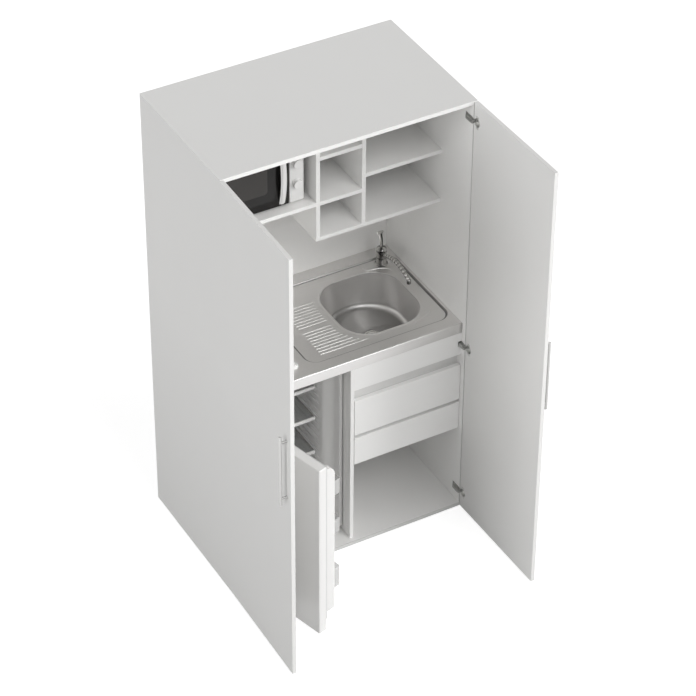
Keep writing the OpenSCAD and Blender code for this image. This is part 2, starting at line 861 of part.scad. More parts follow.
module drain_flange() {
    color(chrome) translate([bowl_x, drain_y, 0]) difference() {
        union() {
            translate([0, 0, bowl_z]) cylinder(r = drain_flange_r, h = 1.6);
            translate([0, 0, tube_low]) cylinder(r = drain_hole_r - 0.5, h = bowl_z - tube_low + 1);
            translate([0, 0, bowl_z - bowl_t - 9]) cylinder(r = drain_flange_r - 2, h = 9);
        }
        translate([0, 0, bowl_z - 14]) cylinder(r = drain_hole_r - 0.5 - tube_wall, h = 20);
        translate([0, 0, tube_low - 1]) cylinder(r = waste_r - 5, h = bowl_z - tube_low);
    }
}

module strainer_basket() {
    r = drain_hole_r - 0.5 - tube_wall - 0.3;
    floor_z = bowl_z - 13.9;
    color(steel) translate([bowl_x, drain_y, 0]) {
        difference() {
            translate([0, 0, floor_z]) cylinder(r = r, h = 13);
            translate([0, 0, floor_z + 1.5]) cylinder(r = r - 1.5, h = 20);
            for (a = [0 : 45 : 315], d = [9, 15])
                rotate([0, 0, a + d]) translate([d, 0, floor_z - 1])
                    cylinder(r = 1.8, h = 4, $fn = 16);
        }
        translate([0, 0, floor_z + 1]) cylinder(r = 3, h = 14);
        translate([0, 0, floor_z + 13]) cylinder(r = 7, h = 4);
    }
}

// Waste pipe from the drain to the bottle trap and out through the back
module waste_trap() {
    pipe_z = tube_low - waste_r - 4;
    outlet_z = tube_low - outlet_drop;
    trap_y = back_y - trap_back;
    color(white_enamel) difference() {
        union() {
            translate([bowl_x, drain_y, pipe_z]) cylinder(r = waste_r + 4, h = tube_low - pipe_z);
            translate([bowl_x, drain_y, pipe_z]) sphere(r = waste_r + 4);
            translate([bowl_x, drain_y, pipe_z]) rotate([-90, 0, 0])
                cylinder(r = waste_r, h = trap_y - drain_y);
            translate([bowl_x, trap_y, tube_low - trap_h]) cylinder(r = trap_r, h = trap_h);
            translate([bowl_x, trap_y, tube_low - 40]) cylinder(r = trap_r + 4, h = 20);
            translate([bowl_x, trap_y, outlet_z]) rotate([-90, 0, 0])
                cylinder(r = waste_r, h = wall_y - trap_y);
        }
        translate([bowl_x, wall_y - 40, outlet_z]) rotate([-90, 0, 0])
            cylinder(r = waste_r - 2.5, h = 41);
        translate([bowl_x, drain_y, pipe_z]) cylinder(r = waste_r - 5, h = 60);
    }
}

// Tap -----------------------------------------------------------------------

module tap_body() {
    color(chrome) translate([tap_x, tap_y, 0]) difference() {
        union() {
            translate([0, 0, deck_z]) cylinder(r = tap_r + 5, h = 4);
            translate([0, 0, deck_z]) cylinder(r = tap_r, h = tap_body_h);
            translate([0, 0, deck_z]) cylinder(r = tap_neck_r, h = cap_z - deck_z);
            translate([0, 0, deck_z - 40]) cylinder(r = tap_neck_r, h = 41);
            translate([0, 0, deck_z - sheet_t - 8])
                cylinder(r = tap_neck_r + 8, h = 8);
        }
        translate([0, 0, deck_z - 41]) cylinder(r = tap_neck_r - 6, h = 40);
    }
}

// Spout: collar on the neck, arched pipe with beads, nozzle turned down
module tap_spout() {
    start = tap_r - 3;
    arc_y = -start - spout_arc_r * sin(spout_climb);
    arc_z = collar_z + collar_h / 2 - spout_arc_r * cos(spout_climb);
    sweep = spout_climb + spout_fall;
    color(chrome) translate([tap_x, tap_y, 0]) {
        difference() {
            translate([0, 0, collar_z + 0.3]) cylinder(r = tap_r + 0.5, h = collar_h - 0.6);
            translate([0, 0, collar_z - 1]) cylinder(r = tap_neck_r + tap_play, h = collar_h + 2);
        }
        translate([0, arc_y, arc_z]) rotate([90, 0, -90]) {
            rotate([0, 0, 90 - spout_climb]) rotate_extrude(angle = sweep)
                translate([spout_arc_r, 0]) circle(r = spout_r, $fn = 32);
            for (i = [1 : bead_count]) {
                at = 90 - spout_climb + sweep * (i + 0.5) / (bead_count + 1);
                rotate([0, 0, at]) translate([spout_arc_r, 0, 0]) rotate([90, 0, 0])
                    cylinder(r = spout_r + bead_rise, h = bead_len, center = true, $fn = 32);
            }
            rotate([0, 0, 90 + spout_fall]) translate([spout_arc_r, 0, 0])
                sphere(r = spout_r + 1.5, $fn = 32);
        }
        translate([0, arc_y - spout_arc_r * sin(spout_fall),
                   arc_z + spout_arc_r * cos(spout_fall) - 20])
            difference() {
                cylinder(r = spout_r + 1.5, h = 20, $fn = 32);
                translate([0, 0, -1]) cylinder(r = spout_r - 1, h = 6, $fn = 32);
            }
    }
}

// Cap that turns for hot and cold, with the slot that the lever rocks in
module tap_cap() {
    color(chrome) translate([tap_x, tap_y, cap_z + 0.3]) difference() {
        union() {
            cylinder(r = tap_r, h = cap_h - 6);
            translate([0, 0, cap_h - 6]) cylinder(r1 = tap_r, r2 = tap_r - 5, h = 6);
        }
        translate([-7.3, -tap_r - 1, 4]) cube([14.6, 2 * tap_r + 2, cap_h]);
    }
}

module tap_lever() {
    color(chrome) translate([tap_x, tap_y, lever_z]) rotate([-lever_lean, 0, 0]) {
        rotate([0, 90, 0]) cylinder(r = 6.5, h = 14, center = true, $fn = 48);
        translate([0, lever_t / 2, 4]) rotate([90, 0, 0]) linear_extrude(lever_t)
            polygon([[-7, 0], [7, 0], [9, 24], [lever_tip_w / 2, lever_len - 6],
                     [lever_tip_w / 2, lever_len], [-lever_tip_w / 2, lever_len],
                     [-lever_tip_w / 2, lever_len - 6], [-9, 24]]);
    }
}

// Hob -----------------------------------------------------------------------

module hotplate(y, r) {
    translate([plate_x, base_y + y, 0]) difference() {
        union() {
            translate([0, 0, worktop_z]) cylinder(r = r, h = 2, $fn = 96);
            translate([0, 0, worktop_z - 16]) cylinder(r = r - 4.2, h = 16 + plate_rise, $fn = 96);
        }
        translate([0, 0, worktop_z + plate_rise - 1]) cylinder(r = 24, h = 2);
    }
}

module hotplates() {
    color(dark_plate) {
        hotplate(front_plate_y, front_plate_r);
        hotplate(rear_plate_y, rear_plate_r);
    }
}

// Steel tray that shields the wiring of the hob, open at the top
module hob_tray() {
    x0 = -in_x + frame_side_w + 1;
    x1 = recess_x - recess_w / 2 - 6;
    y0 = base_y + sheet_t + frame_rail_w;
    y1 = back_y - frame_rail_w;
    z1 = worktop_z - sheet_t;
    color(steel) difference() {
        slab([x0, y0, z1 - hob_tray_h], [x1, y1, z1]);
        slab([x0 + 1, y0 + 1, z1 - hob_tray_h + 1], [x1 - 1, y1 - 1, z1 + 1]);
    }
}

// Knob with its shaft down into the hob, about its own axis
module hob_knob(x) {
    translate([x - in_x, base_y + hob_knob_y, worktop_z]) {
        translate([0, 0, 0.5]) cylinder(r = hob_knob_d / 2, h = 4);
        translate([0, 0, 0.5]) cylinder(r = hob_knob_d / 2 - 2, h = hob_knob_h - 0.5);
        translate([-2, 0, hob_knob_h - 1]) cube([4, hob_knob_d / 2 - 3, 2]);
        translate([0, 0, -knob_sink]) cylinder(r = shaft_d / 2, h = knob_sink + 1, $fn = 32);
    }
}

module left_hob_knob() { color(white_enamel) hob_knob(hob_knob_x[0]); }

module right_hob_knob() { color(white_enamel) hob_knob(hob_knob_x[1]); }

// Drawers -------------------------------------------------------------------

module fascia() {
    color(white_board) difference() {
        slab([bay_x, base_y, fascia_z], [in_x, base_y + board, worktop_low]);
        slab([in_x - arm_rise - arm_notch, base_y - 1, hinge_mid_z - arm_w / 2 - 3 - arm_notch],
             [in_x + 1, base_y + board + 1, hinge_mid_z + arm_w / 2 + 3 + arm_notch]);
    }
}

// Channel behind the grip recess
module grip_rail() {
    z0 = upper_front_top - grip_lap;
    z1 = fascia_z + grip_lap;
    y0 = base_y + board;
    y1 = base_y + grip_depth;
    color(white_enamel) {
        slab([bay_x, y1, z0], [in_x, y1 + grip_t, z1]);
        slab([bay_x, y0, z1 - grip_t], [in_x, y1 + grip_t, z1]);
        slab([bay_x, y0 + 3, z0], [in_x, y1 + grip_t, z0 + grip_t]);
    }
}

module drawer_front(z0, z1) {
    slab([bay_x + front_side_gap, base_y, z0], [in_x - front_side_gap, base_y + board, z1]);
}

// Open drawer box behind a front
module drawer_box(front_z, h) {
    x0 = bay_x + runner_w;
    x1 = in_x - runner_w;
    y0 = base_y + board;
    y1 = y0 + drawer_depth;
    z0 = front_z + box_lift;
    difference() {
        slab([x0, y0, z0], [x1, y1, z0 + h]);
        slab([x0 + drawer_wall, y0 + drawer_wall, z0 + drawer_floor],
             [x1 - drawer_wall, y1 - drawer_wall, z0 + h + 1]);
    }
}

module upper_drawer_front() { color(white_board) drawer_front(upper_front_z, upper_front_top); }

module lower_drawer_front() { color(white_board) drawer_front(lower_front_z, lower_front_top); }

module upper_drawer_box() { color(white_board) drawer_box(upper_front_z, upper_box_h); }

module lower_drawer_box() { color(white_board) drawer_box(lower_front_z, lower_box_h); }

// Runner channels on the divider and on the side panel, one pair a drawer
module drawer_runners() {
    w = runner_w - 0.3;
    color(steel) for (z = [upper_front_z, lower_front_z]) {
        z0 = z + box_lift + 12;
        y0 = base_y + board + 4;
        for (x = [bay_x, in_x - w])
            slab([x, y0, z0], [x + w, y0 + drawer_depth - 10, z0 + runner_h]);
    }
}

// Refrigerator --------------------------------------------------------------

// Space inside the refrigerator: wide mouth, then the deep part over the step
module fridge_space(grow) {
    g = [grow, 0, grow];
    slab([mouth_x0, casing_y - 1, mouth_z0] - g, [mouth_x1, casing_y + mouth_depth + grow, mouth_z1] + g);
    difference() {
        slab([cave_x0, casing_y - 1, cave_z0] - g, [cave_x1, cave_y1 + grow, cave_z1] + g);
        slab([cave_x0 - 9, step_y + grow, cave_z0 - 9], [cave_x1 + 9, cave_y1 + 9, step_z - grow]);
    }
}

// Insulated casing with the compressor niche at the back and four feet
module fridge_casing() {
    y1 = casing_y + fridge_d;
    color(white_enamel) {
        difference() {
            slab([casing_x0, casing_y, casing_z], [casing_x1, y1, casing_top]);
            fridge_space(lining_t);
            slab([casing_x0 + 20, niche_y, casing_z - 1], [casing_x1 - 20, y1 + 1, niche_top]);
        }
        for (x = [casing_x0 + 30, casing_x1 - 30], y = [casing_y + 30, niche_y - 30])
            translate([x, y, board]) cylinder(r = 14, h = fridge_foot + 1);
    }
}

// Moulded inner lining with ribs along its side walls
module fridge_liner() {
    color(white_enamel) {
        difference() {
            fridge_space(lining_t);
            fridge_space(0);
            slab([casing_x0, casing_y - 5, casing_z], [casing_x1, casing_y, casing_top]);
            translate([cave_x1 - 1, dial_y, dial_z]) rotate([0, 90, 0])
                cylinder(r = shaft_d / 2 + shaft_play, h = 9, $fn = 32);
        }
        for (i = [0 : wall_rib_count - 1]) {
            z = step_z + 12 + i * wall_rib_pitch;
            y = fridge_shelf_front + casing_y - 6;
            slab([cave_x0 - eps, y, z], [cave_x0 + wall_rib_rise, cave_y1 + eps, z + 5]);
            slab([cave_x1 - wall_rib_rise, y, z], [cave_x1 + eps, cave_y1 + eps, z + 5]);
        }
    }
}

module at_fridge_door() {
    turned(fridge_pin_x, fridge_pin_y, -fridge_open) children();
}

module fridge_door() {
    color(white_enamel) at_fridge_door() difference() {
        slab([casing_x0, slab_y0, slab_z0], [casing_x1, slab_y1, slab_z1]);
        for (z = [slab_z0 - 1, slab_z1 - pin_len])
            translate([fridge_pin_x, fridge_pin_y, z])
                cylinder(r = pin_r + shaft_play, h = pin_len + 1, $fn = 32);
    }
}

// Lining of the door: a plate with two upright dykes, round at the top
module fridge_door_liner() {
    y0 = slab_y1 + 0.02;
    y1 = casing_y + dyke_depth;
    z0 = mouth_z0 + 1;
    z1 = mouth_z1 - 4;
    r = min(dyke_r, (y1 - y0) / 2);
    color(white_enamel) at_fridge_door() {
        slab([dyke_x0, y0, z0], [dyke_x1, y0 + 3, z1]);
        for (x = [dyke_x0, dyke_x1 - dyke_w]) {
            slab([x, y0, z0], [x + dyke_w, y1, z1 - r]);
            slab([x, y0, z0], [x + dyke_w, y1 - r, z1]);
            translate([x, y1 - r, z1 - r]) rotate([0, 90, 0]) cylinder(r = r, h = dyke_w);
        }
    }
}

// Seal ring on the inner face of the door slab
module fridge_gasket() {
    x0 = fridge_pin_x - 3;
    x1 = casing_x1 - 4;
    z0 = mouth_z0 - 8;
    z1 = mouth_z1 + 8;
    inner_x0 = dyke_x0 - 1;
    inner_x1 = dyke_x1 + 1;
    color([0.72, 0.72, 0.72]) at_fridge_door() difference() {
        slab([x0, slab_y1 + 0.02, z0], [x1, casing_y - 0.6, z1]);
        slab([inner_x0, slab_y1 - 1, mouth_z0], [inner_x1, casing_y + 1, mouth_z1 - 3]);
    }
}

// Clear racks between the dykes of the door lining
module fridge_door_racks() {
    x0 = dyke_x0 + dyke_w + 0.5;
    x1 = dyke_x1 - dyke_w - 8;
    y0 = slab_y1 + 3.1;
    y1 = casing_y + dyke_depth + rack_d;
    color(clear_glass) at_fridge_door() for (i = [0 : len(rack_z) - 1])
        difference() {
            slab([x0, y0, rack_z[i]], [x1, y1, rack_z[i] + rack_h[i]]);
            slab([x0 + rack_wall, y0 + rack_wall, rack_z[i] + rack_wall],
                 [x1 - rack_wall, y1 - rack_wall, rack_z[i] + rack_h[i] + 1]);
        }
}

// Glass shelves with a white trim along the front
module fridge_shelves() {
    y0 = casing_y + fridge_shelf_front;
    gap = wall_rib_rise + 0.5;
    color(clear_glass) for (z = fridge_shelf_z) {
        slab([cave_x0 + gap, y0, z], [cave_x1 - gap, cave_y1 - 0.5, z + 4]);
        slab([cave_x0 + gap, y0 - 4, z - 6], [cave_x1 - gap, y0 + 4, z + 8]);
    }
}

module fridge_crisper() {
    x0 = cave_x0 + 4;
    x1 = cave_x1 - 4;
    y0 = casing_y + fridge_shelf_front;
    y1 = step_y - 4;
    z1 = step_z - 16;
    wall = 2.5;
    color(clear_glass) difference() {
        slab([x0, y0, cave_z0], [x1, y1, z1]);
        slab([x0 + wall, y0 + wall, cave_z0 + wall], [x1 - wall, y1 - wall, z1 + 1]);
    }
}

// The two pins that the refrigerator door hangs on
module fridge_hinge_pins() {
    color(chrome) translate([fridge_pin_x, fridge_pin_y, 0]) {
        translate([0, 0, casing_z - bracket_t])
            cylinder(r = pin_r, h = bracket_t + pin_len, $fn = 32);
        translate([0, 0, slab_z1 - pin_len + 1])
            cylinder(r = pin_r, h = casing_top - slab_z1 + bracket_t + pin_len - 1, $fn = 32);
    }
}

module fridge_hinge_brackets() {
    x0 = casing_x0 + 2;
    y0 = fridge_pin_y - 12;
    color(steel) for (z = [casing_z - bracket_t, casing_top]) difference() {
        slab([x0, y0, z], [x0 + 30, casing_y + 12, z + bracket_t]);
        translate([fridge_pin_x, fridge_pin_y, z - 1])
            cylinder(r = pin_r + shaft_play, h = bracket_t + 2, $fn = 32);
    }
}

// Compressor in the niche, on a cross plate
module fridge_compressor() {
    x = (casing_x0 + casing_x1) / 2;
    y = (niche_y + casing_y + fridge_d) / 2;
    color(dark_plate) {
        slab([casing_x0 + 20, y - 30, casing_z], [casing_x1 - 20, y + 30, casing_z + 2]);
        translate([x, y, casing_z + 1]) cylinder(d = compressor_d, h = compressor_h);
        translate([x, y, casing_z + 1 + compressor_h])
            cylinder(d1 = compressor_d, d2 = compressor_d * 0.57, h = compressor_h * 0.375);
    }
}

module thermostat_dial() {
    color(white_enamel) translate([cave_x1, dial_y, dial_z]) rotate([0, 90, 0]) {
        translate([0, 0, -12.4]) cylinder(r = 18, h = 12);
        translate([0, 0, -1]) cylinder(r = shaft_d / 2, h = lining_t, $fn = 32);
    }
}

// Microwave -----------------------------------------------------------------

module microwave_case() {
    y1 = mw_case_y + microwave_d;
    wall = 2;
    color(white_enamel) {
        difference() {
            slab([mw_x0, mw_case_y, mw_z0], [mw_x1, y1, mw_z1]);
            slab([mw_x0 + wall, mw_case_y - 1, mw_z0 + wall], [mw_x1 - wall, y1 - wall, mw_z1 - wall]);
        }
        for (x = [mw_x0 + 40, mw_x1 - 40], y = [mw_case_y + 30, y1 - 40])
            translate([x, y, mw_z0 - microwave_foot])
                cylinder(r = 12, h = microwave_foot + 1, $fn = 32);
    }
}

// Cooking chamber with its front frame; the frame closes the casing
module microwave_chamber() {
    x0 = chamber_x - chamber_w / 2;
    z1 = chamber_z + chamber_h;
    y1 = mw_case_y + chamber_d;
    color([0.80, 0.80, 0.79]) difference() {
        union() {
            slab([mw_x0 + 2, mw_case_y, mw_z0 + 2], [mw_x1 - 2, mw_case_y + 2, mw_z1 - 2]);
            slab([x0 - 1, mw_case_y, chamber_z - 1], [x0 + chamber_w + 1, y1 + 1, z1 + 1]);
        }
        slab([x0, mw_case_y - 1, chamber_z], [x0 + chamber_w, y1, z1]);
        translate([chamber_x, mw_case_y + chamber_d / 2, chamber_z - 5])
            cylinder(r = shaft_d / 2 + shaft_play, h = 10, $fn = 32);
    }
}

module microwave_panel() {
    color(white_enamel) difference() {
        slab([mw_x1 - panel_w, mw_y, mw_z0], [mw_x1, mw_case_y, mw_z1]);
        for (z = knob_z) translate([panel_x, mw_y - 1, mw_z0 + z]) rotate([-90, 0, 0])
            cylinder(r = shaft_d / 2 + shaft_play, h = microwave_front_t + 9, $fn = 32);
    }
}

// Door: frame, dark glass and the raised choke plate behind it
module microwave_door() {
    y1 = mw_y + microwave_front_t;
    color(dark_plate) difference() {
        union() {
            slab([mw_x0, mw_y, mw_z0], [mw_door_x1, y1, mw_z1]);
            slab([mw_x0 + 26, y1, mw_z0 + 12], [mw_door_x1 - 12, y1 + 2.6, mw_z1 - 12]);
        }
        for (z = [mw_z0 - 1, mw_z1 - 10]) translate([mw_pin_x, mw_pin_y, z])
            cylinder(r = 2.5, h = 11, $fn = 32);
    }
}

// Upright grip, bowed out, with a foot at each end
module microwave_handle() {
    w = 22;
    x = mw_door_x1 - 33;
    z0 = mw_z0 + 10;
    z1 = mw_z1 - 10;
    span = z1 - z0;
    bow_r = (span * span / 4 + mw_handle_reach * mw_handle_reach) / (2 * mw_handle_reach);
    color(white_enamel) translate([x - w / 2, mw_y, (z0 + z1) / 2]) rotate([90, 0, 90])
        linear_extrude(w) intersection() {
            difference() {
                translate([bow_r - mw_handle_reach, 0]) circle(r = bow_r, $fn = 180);
                translate([bow_r - mw_handle_reach + 9, 0]) circle(r = bow_r, $fn = 180);
            }
            translate([-50, -span / 2]) square([50, span]);
        }
}

module microwave_knob(z) {
    translate([panel_x, mw_y, mw_z0 + z]) rotate([90, 0, 0]) {
        translate([0, 0, 0.5]) cylinder(r = knob_d / 2, h = 4);
        translate([0, 0, 0.5]) cylinder(r = knob_d / 2 - 1.5, h = knob_len - 0.5);
        translate([-2, 2, knob_len - 1]) cube([4, knob_d / 2 - 5, 2]);
        translate([0, 0, -microwave_front_t])
            cylinder(r = shaft_d / 2, h = microwave_front_t + 1, $fn = 32);
    }
}

module microwave_timer_knob() { color(white_enamel) microwave_knob(knob_z[0]); }

module microwave_power_knob() { color(white_enamel) microwave_knob(knob_z[1]); }

// Glass plate on its drive shaft
module microwave_turntable() {
    color(clear_glass) translate([chamber_x, mw_case_y + chamber_d / 2, chamber_z]) {
        translate([0, 0, 9]) cylinder(r = turntable_d / 2, h = 4, $fn = 96);
        difference() {
            translate([0, 0, 12]) cylinder(r = turntable_d / 2, h = 7, $fn = 96);
            translate([0, 0, 11]) cylinder(r = turntable_d / 2 - 5, h = 9, $fn = 96);
        }
        translate([0, 0, 0.5]) cylinder(r = 14, h = 9);
        translate([0, 0, -8]) cylinder(r = shaft_d / 2, h = 9, $fn = 32);
    }
}

side_left();
side_right();
top_panel();
bottom_panel();
back_panel();
divider();
microwave_shelf();
shelf_divider_left();
shelf_divider_right();
shelf_unit_base();
inner_shelves();
panel_dowels();
left_door();
right_door();
left_handle();
right_handle();
hinge_arms();
left_hinge_cups();
right_hinge_cups();
steel_worktop();
worktop_frame();
sink_bowl();
drain_flange();
strainer_basket();
waste_trap();
tap_body();
tap_spout();
tap_cap();
tap_lever();
hotplates();
hob_tray();
left_hob_knob();
right_hob_knob();
fascia();
grip_rail();
upper_drawer_front();
upper_drawer_box();
lower_drawer_front();
lower_drawer_box();
drawer_runners();
fridge_casing();
fridge_liner();
fridge_door();
fridge_door_liner();
fridge_gasket();
fridge_door_racks();
fridge_shelves();
fridge_crisper();
fridge_hinge_pins();
fridge_hinge_brackets();
fridge_compressor();
thermostat_dial();
microwave_case();
microwave_chamber();
microwave_panel();
microwave_door();
microwave_handle();
microwave_power_knob();
microwave_timer_knob();
microwave_turntable();
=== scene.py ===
"""Looks of a cupboard kitchenette: white boards, a pressed steel top with sink, a hob,
a refrigerator and a microwave. Each group of pieces has its own operator."""

import json
import math

import bmesh
import bpy
import numpy as np
from bpy.props import FloatProperty, FloatVectorProperty, PointerProperty
from mathutils import Matrix, Vector

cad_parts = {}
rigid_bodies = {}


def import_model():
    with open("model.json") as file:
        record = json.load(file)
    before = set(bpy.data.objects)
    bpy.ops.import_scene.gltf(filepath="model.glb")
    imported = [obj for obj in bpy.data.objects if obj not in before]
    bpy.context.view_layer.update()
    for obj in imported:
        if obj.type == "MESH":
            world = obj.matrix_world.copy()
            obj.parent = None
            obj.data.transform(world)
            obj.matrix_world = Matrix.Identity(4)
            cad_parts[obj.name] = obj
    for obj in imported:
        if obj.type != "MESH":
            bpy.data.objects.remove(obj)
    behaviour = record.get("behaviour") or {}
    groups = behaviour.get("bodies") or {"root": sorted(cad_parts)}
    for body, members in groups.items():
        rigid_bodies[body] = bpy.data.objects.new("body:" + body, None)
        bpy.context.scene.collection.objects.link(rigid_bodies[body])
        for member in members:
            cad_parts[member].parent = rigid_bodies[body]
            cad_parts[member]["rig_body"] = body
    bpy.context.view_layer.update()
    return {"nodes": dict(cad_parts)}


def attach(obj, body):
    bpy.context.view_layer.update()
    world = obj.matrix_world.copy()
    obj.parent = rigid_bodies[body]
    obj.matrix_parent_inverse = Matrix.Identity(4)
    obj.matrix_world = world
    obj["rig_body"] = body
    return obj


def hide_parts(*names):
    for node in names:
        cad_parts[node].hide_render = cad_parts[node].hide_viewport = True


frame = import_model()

bl_info = {
    "name": "Cupboard kitchenette",
    "version": (1, 0, 0),
    "blender": (4, 5, 0),
    "location": "3D View > Sidebar > Kitchenette",
    "description": "Builds the finished look of a cupboard kitchenette on its fixed frame",
    "category": "Add Mesh",
}

# Measures that several pieces share, in metres and degrees
LEFT_DOOR = ((-0.512, -0.3225), -91.0)  # hinge line, and how far it stands open
FRIDGE_DOOR = ((-0.468, -0.257), -74.5)
HINGE_HEIGHTS = (0.083, 0.802, 1.836)
TOP, DECK = 0.900, 0.894  # heights of the steel top and of the floor of its recess
BOWL = np.array([0.263, -0.002])
DRAIN = (0.263, -0.027)
TAP = (0.428, 0.198)
INSIDE = (0.5045, -0.3095, 1.9015)  # half width, front and top of the cupboard's inside
WELD, SLIVER = 2e-6, 1e-6  # points merged, and edges dissolved, below these


# Settings ---


def colour(label, text, default):
    """A colour that the user may change."""
    return FloatVectorProperty(name=label, description=text, default=default,
                               subtype="COLOR", size=3, min=0.0, max=1.0)


def size(label, text, default, low, high):
    """A small length that the user may change."""
    return FloatProperty(name=label, description=text, default=default, min=low, max=high,
                         unit="LENGTH")


def strength(label, text, default):
    """A strength of light that the user may change."""
    return FloatProperty(name=label, description=text, default=default, min=0.0, max=10.0)


class KitchenetteColours(bpy.types.PropertyGroup):
    """Colours of the finishes."""

    board: colour("Board", "Coated board of the cupboard", (0.930, 0.926, 0.914))
    enamel: colour("Enamel", "Lacquered sheet of the appliances", (0.790, 0.785, 0.776))
    lining: colour("Lining", "Moulded lining of the refrigerator", (0.92, 0.915, 0.905))
    steel: colour("Steel", "Brushed steel of the top and bowl", (0.86, 0.848, 0.836))
    chrome: colour("Chrome", "Plated metal of the tap", (0.72, 0.71, 0.69))
    glass: colour("Oven glass", "Dark glass of the microwave door", (0.010, 0.009, 0.0085))


class KitchenetteSizes(bpy.types.PropertyGroup):
    """Small sizes that finish the pieces."""

    board_edge: size("Board edge", "Rounding of the edges of coated boards",
                     0.0007, 0.0002, 0.002)
    sheet: size("Sheet", "Thickness of the pressed steel top", 0.0012, 0.0006, 0.0015)
    rim_rise: size("Rim rise", "Height of the raised rim round the bowl", 0.0019, 0.0, 0.003)
    rib_rise: size("Rib rise", "Height of the drainer ribs", 0.0011, 0.0005, 0.003)


class KitchenetteLight(bpy.types.PropertyGroup):
    """Light of the studio."""

    sky: strength("Sky", "Strength of the even light from all round", 0.26)
    front: strength("Front lamp", "Strength of the soft lamp above the front", 1.15)
    left: strength("Left lamp", "Strength of the soft lamp at the left side", 1.18)
    right: strength("Right lamp", "Strength of the low lamp at the front right", 1.82)
    fill: strength("Fill lamp", "Strength of the high lamp at the front left", 0.20)
    rear: strength("Rear lamp", "Strength of the low lamp behind the back", 0.50)
    floor: colour("Floor", "Colour of the floor", (0.50, 0.50, 0.50))


# Shapes ---
# A shape is a pair: an array of points and a list of arrays of face corners.


def mm(*points):
    """Points given in millimetres."""
    return np.array(points, float) / 1000


def xyz(*parts):
    """Points from their coordinates, each a number or an array."""
    return np.stack(np.broadcast_arrays(*parts), -1)


def quarter(count, start=0.0):
    """Angles of a quarter turn, from a share of it to its end."""
    return np.linspace(start, 1, count) * np.pi / 2


def circle(count):
    """Angles of a whole turn."""
    return np.linspace(0, 2 * np.pi, count, endpoint=False)


def smooth(k):
    """Cosine step (1 - cos pi k) / 2: 0 up to k = 0, and 1 from k = 1."""
    return (1 - math.cos(math.pi * min(max(k, 0), 1))) / 2


def grid_faces(rows, cols, closed=True):
    """Quads between neighbours of a grid of points, numbered row by row; when closed,
    the last column meets the first."""
    i = np.arange(rows - 1)[:, None] * cols
    j = np.arange(cols if closed else cols - 1)
    k = (j + 1) % cols
    return xyz(i + j, i + k, i + cols + k, i + cols + j).reshape(-1, 4)


def joined(*shapes):
    """One shape from several: the points one after another, the faces moved up."""
    points, faces, start = [], [], 0
    for p, fs in shapes:
        points.append(p)
        faces += [f + start for f in fs]
        start += len(p)
    return np.concatenate(points), faces


def rings(levels, capped=True):
    """Surface through closed rings of points: a quad between every two neighbours, and a
    flat cap on the first and last ring."""
    levels = np.asarray(levels, float)
    n, m = levels.shape[:2]
    faces = [grid_faces(n, m)]
    if capped:
        faces += [np.arange(m)[None, ::-1], (n - 1) * m + np.arange(m)[None, :]]
    return levels.reshape(-1, 3), faces


def lathe(profile, centre, axis, turns):
    """Solid of revolution: the profile's radius r and height h give the point
    centre + r (cos a, sin a) across the axis + h along it."""
    a, r, h = circle(turns), profile[:, :1], profile[:, 1:]
    u, v, w = r * np.cos(a), r * np.sin(a), h
    order = {"z": (u, v, w), "y": (v, w, u), "x": (w, u, v)}[axis]
    return rings(xyz(*order) + np.asarray(centre))


def sweep(path, across, up, half_w, half_h, sides, power=2.0):
    """Bar along a path: round each path point, path + half_w c(t) across + half_h s(t) up,
    where c and s are cosine and sine raised to 2 / power, so 2 is an ellipse and more
    is a squarer bar."""
    t = circle(sides)
    c, s = (np.sign(f) * np.abs(f) ** (2 / power) for f in (np.cos(t), np.sin(t)))
    across, up = (np.broadcast_to(v, path.shape)[:, None] for v in (across, up))
    w, h = (np.broadcast_to(v, len(path))[:, None, None] for v in (half_w, half_h))
    return rings(path[:, None] + w * c[:, None] * across + h * s[:, None] * up)


def rounded_ends(length, radius, n, tip=0.08):
    """Places along a bar and the share of its width there: full in the middle, and
    sqrt(1 - s^2) over the last radius at each end, so the ends are half round."""
    share, rise = np.sin(quarter(n)), radius * (1 - np.cos(quarter(n)))
    at = np.concatenate([rise, length - rise[::-1]])
    return at, np.maximum(np.concatenate([share, share[::-1]]), tip)


def block(lo, hi, r, n):
    """Box with rounded edges: a sphere of radius r whose eight octants are pulled apart
    to the corners, point = corner centre + r (cos b cos a, cos b sin a, sin b)."""
    lo, hi = np.asarray(lo), np.asarray(hi)
    r = min(r, *((hi - lo) / 2 * 0.98))
    q = quarter(n + 1)
    b = np.concatenate([-q[::-1], q])[:, None]
    a = np.concatenate([q + k * np.pi / 2 for k in range(4)])
    sb = np.repeat([-1, 1], n + 1)[:, None]
    sx, sy = np.repeat([1, -1, -1, 1], n + 1), np.repeat([1, 1, -1, -1], n + 1)
    mid, half = (lo + hi) / 2, (hi - lo) / 2 - r
    return rings(xyz(mid[0] + half[0] * sx + r * np.cos(b) * np.cos(a),
                     mid[1] + half[1] * sy + r * np.cos(b) * np.sin(a),
                     mid[2] + half[2] * sb + r * np.sin(b)))


def outline(half_x, half_y, radius, per_corner=20, per_side=10):
    """Closed outline of a rectangle with round corners, anticlockwise about the origin:
    quarter circles, centre + radius (cos t, sin t), and even steps along the sides."""
    t = quarter(per_corner) + np.arange(4)[:, None] * np.pi / 2
    sx, sy = np.array([1, -1, -1, 1])[:, None], np.array([1, 1, -1, -1])[:, None]
    arcs = xyz(sx * (half_x - radius) + radius * np.cos(t),
               sy * (half_y - radius) + radius * np.sin(t))
    step = (np.arange(1, per_side + 1) / (per_side + 1))[:, None]
    sides = arcs[:, -1:] * (1 - step) + np.roll(arcs, -1, 0)[:, :1] * step
    return np.concatenate([arcs, sides], 1).reshape(-1, 2)


def flat_ring(xy, z, centre):
    """An outline lifted to height z round a centre."""
    return xyz(*(xy + np.asarray(centre)).T, z)


